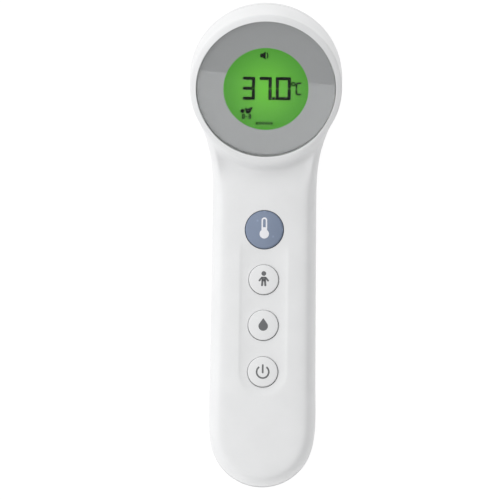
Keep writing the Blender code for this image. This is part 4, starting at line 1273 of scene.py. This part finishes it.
def make_cell(name, tip_is_high):
    """An AA cell with a stepped positive tip, a crimped shoulder and a rolled edge at its flat end."""
    low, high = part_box(name)
    x, _, z = (low + high) / 2 / MM
    tip_y = (high.y if tip_is_high else low.y) / MM
    dish = 0.15 - CELL_LENGTH
    tip = [*arc((TIP_RADIUS - 0.2, -0.2), 0.2, 90, 0, 3), (TIP_RADIUS + 0.05, -TIP_HEIGHT)]
    shoulder = arc((CELL_RADIUS - CELL_SHOULDER, -TIP_HEIGHT - CELL_SHOULDER), CELL_SHOULDER, 90, 0, 6)
    roll = arc((CELL_RADIUS - CELL_ROLL, CELL_ROLL - CELL_LENGTH), CELL_ROLL, 0, -90, 5)
    profile = [
        (0, 0), *tip, (3.4, -TIP_HEIGHT - 0.15), (4.6, -TIP_HEIGHT), *shoulder,
        (CELL_RADIUS, CELL_ROLL + 0.1 - CELL_LENGTH), *roll, (4.6, -CELL_LENGTH), (4.4, dish), (0, dish),
    ]
    cell = add_object(f"{name}_skin", turned_mesh(profile), (x, tip_y, z))
    cell.rotation_euler.x = -math.pi / 2 if tip_is_high else math.pi / 2
    finish_piece(cell, CELL, replaces=[name])


def make_spring(name, at_high_end):
    """A conical contact spring, wound from its wide foot to its narrow tip."""
    low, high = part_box(name)
    x, _, z = (low + high) / 2 / MM
    foot, tip = (high.y, low.y) if at_high_end else (low.y, high.y)
    inward = math.copysign(SPRING_RADIUS * MM, tip - foot)
    foot, tip = (foot + inward) / MM, (tip - inward) / MM
    curve = bpy.data.curves.new(name, "CURVE")
    curve.dimensions = "3D"
    curve.bevel_depth = SPRING_RADIUS * MM
    curve.bevel_resolution = 6
    curve.use_fill_caps = True
    spline = curve.splines.new("POLY")
    spline.points.add(SPRING_TURNS * SPRING_STEPS)
    for step, point in enumerate(spline.points):
        share = step / (SPRING_TURNS * SPRING_STEPS)
        angle = 2 * math.pi * step / SPRING_STEPS
        reach = mix(SPRING_FOOT, SPRING_TIP, share)
        place = Vector((x + reach * math.cos(angle), mix(foot, tip, share), z + reach * math.sin(angle)))
        point.co = (*(place * MM), 1)
    carrier = bpy.data.objects.new(name, curve)
    mesh = bpy.data.meshes.new_from_object(carrier)
    bpy.data.objects.remove(carrier)
    spring = add_object(f"{name}_skin", mesh)
    finish_piece(spring, STEEL, replaces=[name])


CAD_LOOKS = (
    (BLACK, "black_plastic", (
        "lens_gasket", "lcd_frame", "lcd_connector", "measure_switch", "age_switch", "object_switch",
        "power_switch", "microcontroller", "buzzer", "sensor_window",
    )),
    (MILKY, "light_guide", ("lcd_backlight", "backlight_led_left", "backlight_led_right", "guide_led")),
    (BOARD, "board_green", ("display_board", "main_board", "sensor_board")),
    (SILICONE, "silicone", ("keypad_seal", "sensor_gasket")),
    (STEEL, "steel", (
        "quartz_crystal", "capacitor", "sensor_can", "positive_contact", "negative_contact", "link_contact",
    )),
    (BRASS, "brass", ("sensor_sleeve",)),
    (NOSE_GREY, "light_grey_plastic", ("battery_tray",)),
    (CLEAR, "clear_plastic", ("light_pipe",)),
    (RED_WIRE, "red_wire", ("positive_wire",)),
    (BLACK_WIRE, "black_wire", ("negative_wire",)),
    (AMBER, "cable_amber", ("display_cable", "sensor_cable")),
)


def paint_cad_nodes():
    """Gives the CAD pieces that keep their own shape their materials."""
    for material, slot, names in CAD_LOOKS:
        for name in names:
            node = NODES[name]
            if not node.material_slots:
                node.data.materials.append(material)
            for material_slot in node.material_slots:
                material_slot.material = material


# ---- Studio ----

# The camera is three metres up, over a point in millimetres, and takes in this width of the handle's face.
CAMERA_HEIGHT = 3.0
FRAME_WIDTH = 0.160
AIM = (-4.5, -1.6)
LEAN = math.radians(0.65)
FLOOR_DROP = 0.2
# The studio is brightest toward the left, and has a second glow beyond the head.
BRIGHT_SIDE = (-0.84, 0.08, 0.54)
STUDIO_BRIGHTNESS = (0.0, 1.15)
STUDIO_SPREAD = (-0.75, 0.66)
BACK_GLOW = 0.5
BACK_GLOW_START = 0.3
# A card that the lens mirrors: how far away it seems to be, its size in metres, how far up the lens its edge
# runs, and how that edge slopes.
CARD_DISTANCE = 500.0
CARD_SIZE = (0.12, 0.08)
CARD_EDGE = 3.9
CARD_SLOPE = math.radians(-5.9)
CARD_POWER = 0.053


def make_floor():
    """A plain white light table."""
    bm = bmesh.new()
    bmesh.ops.create_grid(bm, x_segments=1, y_segments=1, size=1.6)
    floor = add_object("floor", mesh_from("floor", bm), (0, 0, cad_box[0].z / MM - FLOOR_DROP))
    material, tree, shader = new_material("light_table")
    place = place_of(tree)
    shade_of = colour_mix(tree, noise_of(tree, place, 60.0), (0.20, 0.20, 0.20, 1), (0.22, 0.22, 0.22, 1))
    set_inputs(tree, shader, {
        "Base Color": shade_of, "Roughness": 0.9, "Specular IOR Level": 0.0, "Emission Color": (1, 1, 1, 1),
        "Emission Strength": 0.86,
    })
    floor.data.materials.append(material)


def make_card():
    """A small soft light whose upper edge is mirrored across the lens."""
    light = bpy.data.lights.new("card", "AREA")
    light.shape = "RECTANGLE"
    light.size, light.size_y = CARD_SIZE
    light.energy = CARD_POWER
    obj = bpy.data.objects.new("card", light)
    bpy.context.scene.collection.objects.link(obj)
    slant = math.atan2(RIM_CENTRE.y - AIM[1], CAMERA_HEIGHT / MM - RIM_CENTRE.z)
    mirrored = Matrix.Translation(RIM_CENTRE * MM) @ Matrix.Rotation(2 * TILT - slant, 4, "X")
    shift = Vector((0, CARD_EDGE * math.cos(TILT), CARD_DISTANCE)) * MM
    below = Matrix.Translation((0, -CARD_SIZE[1] / 2, 0))
    obj.matrix_world = mirrored @ Matrix.Translation(shift) @ Matrix.Rotation(CARD_SLOPE, 4, "Z") @ below


def make_world():
    """A soft studio all round that is brighter on one side."""
    world = bpy.data.worlds.new("studio")
    bpy.context.scene.world = world
    world.use_nodes = True
    tree = world.node_tree
    coords = add_node(tree, "TexCoord")
    inputs = {0: coords.outputs["Generated"], 1: Vector(BRIGHT_SIDE).normalized()}
    toward = add_node(tree, "VectorMath", inputs, operation="DOT_PRODUCT").outputs["Value"]
    back = add_node(tree, "SeparateXYZ", {"Vector": coords.outputs["Generated"]}).outputs["Y"]
    glow = ranged(tree, back, BACK_GLOW_START, 1, 0, BACK_GLOW)
    studio = ranged(tree, toward, *STUDIO_SPREAD, *STUDIO_BRIGHTNESS)
    both = add_node(tree, "Math", {0: studio, 1: glow}, operation="ADD").outputs["Value"]
    set_inputs(tree, tree.nodes["Background"], {"Color": (1, 1, 1, 1), "Strength": both})


def make_camera():
    """A camera that looks straight down on the thermometer from far off."""
    camera = bpy.data.cameras.new("camera")
    obj = bpy.data.objects.new("camera", camera)
    bpy.context.scene.collection.objects.link(obj)
    obj.location = (AIM[0] * MM, AIM[1] * MM, CAMERA_HEIGHT)
    obj.rotation_euler = (0, 0, LEAN)
    camera.lens = camera.sensor_width * (CAMERA_HEIGHT - THICKNESS * MM) / FRAME_WIDTH
    camera.clip_start = 0.05
    bpy.context.scene.camera = obj


make_front_shell()
make_rear_shell()
make_battery_door()
make_screws()
for button in BUTTONS:
    make_cap(button)
make_display()
make_nose()
make_cell("battery_1", True)
make_cell("battery_2", False)
make_spring("link_spring", False)
make_spring("negative_spring", True)
paint_cad_nodes()
make_floor()
make_world()
make_camera()
make_card()
bpy.context.scene.view_settings.view_transform = "Standard"
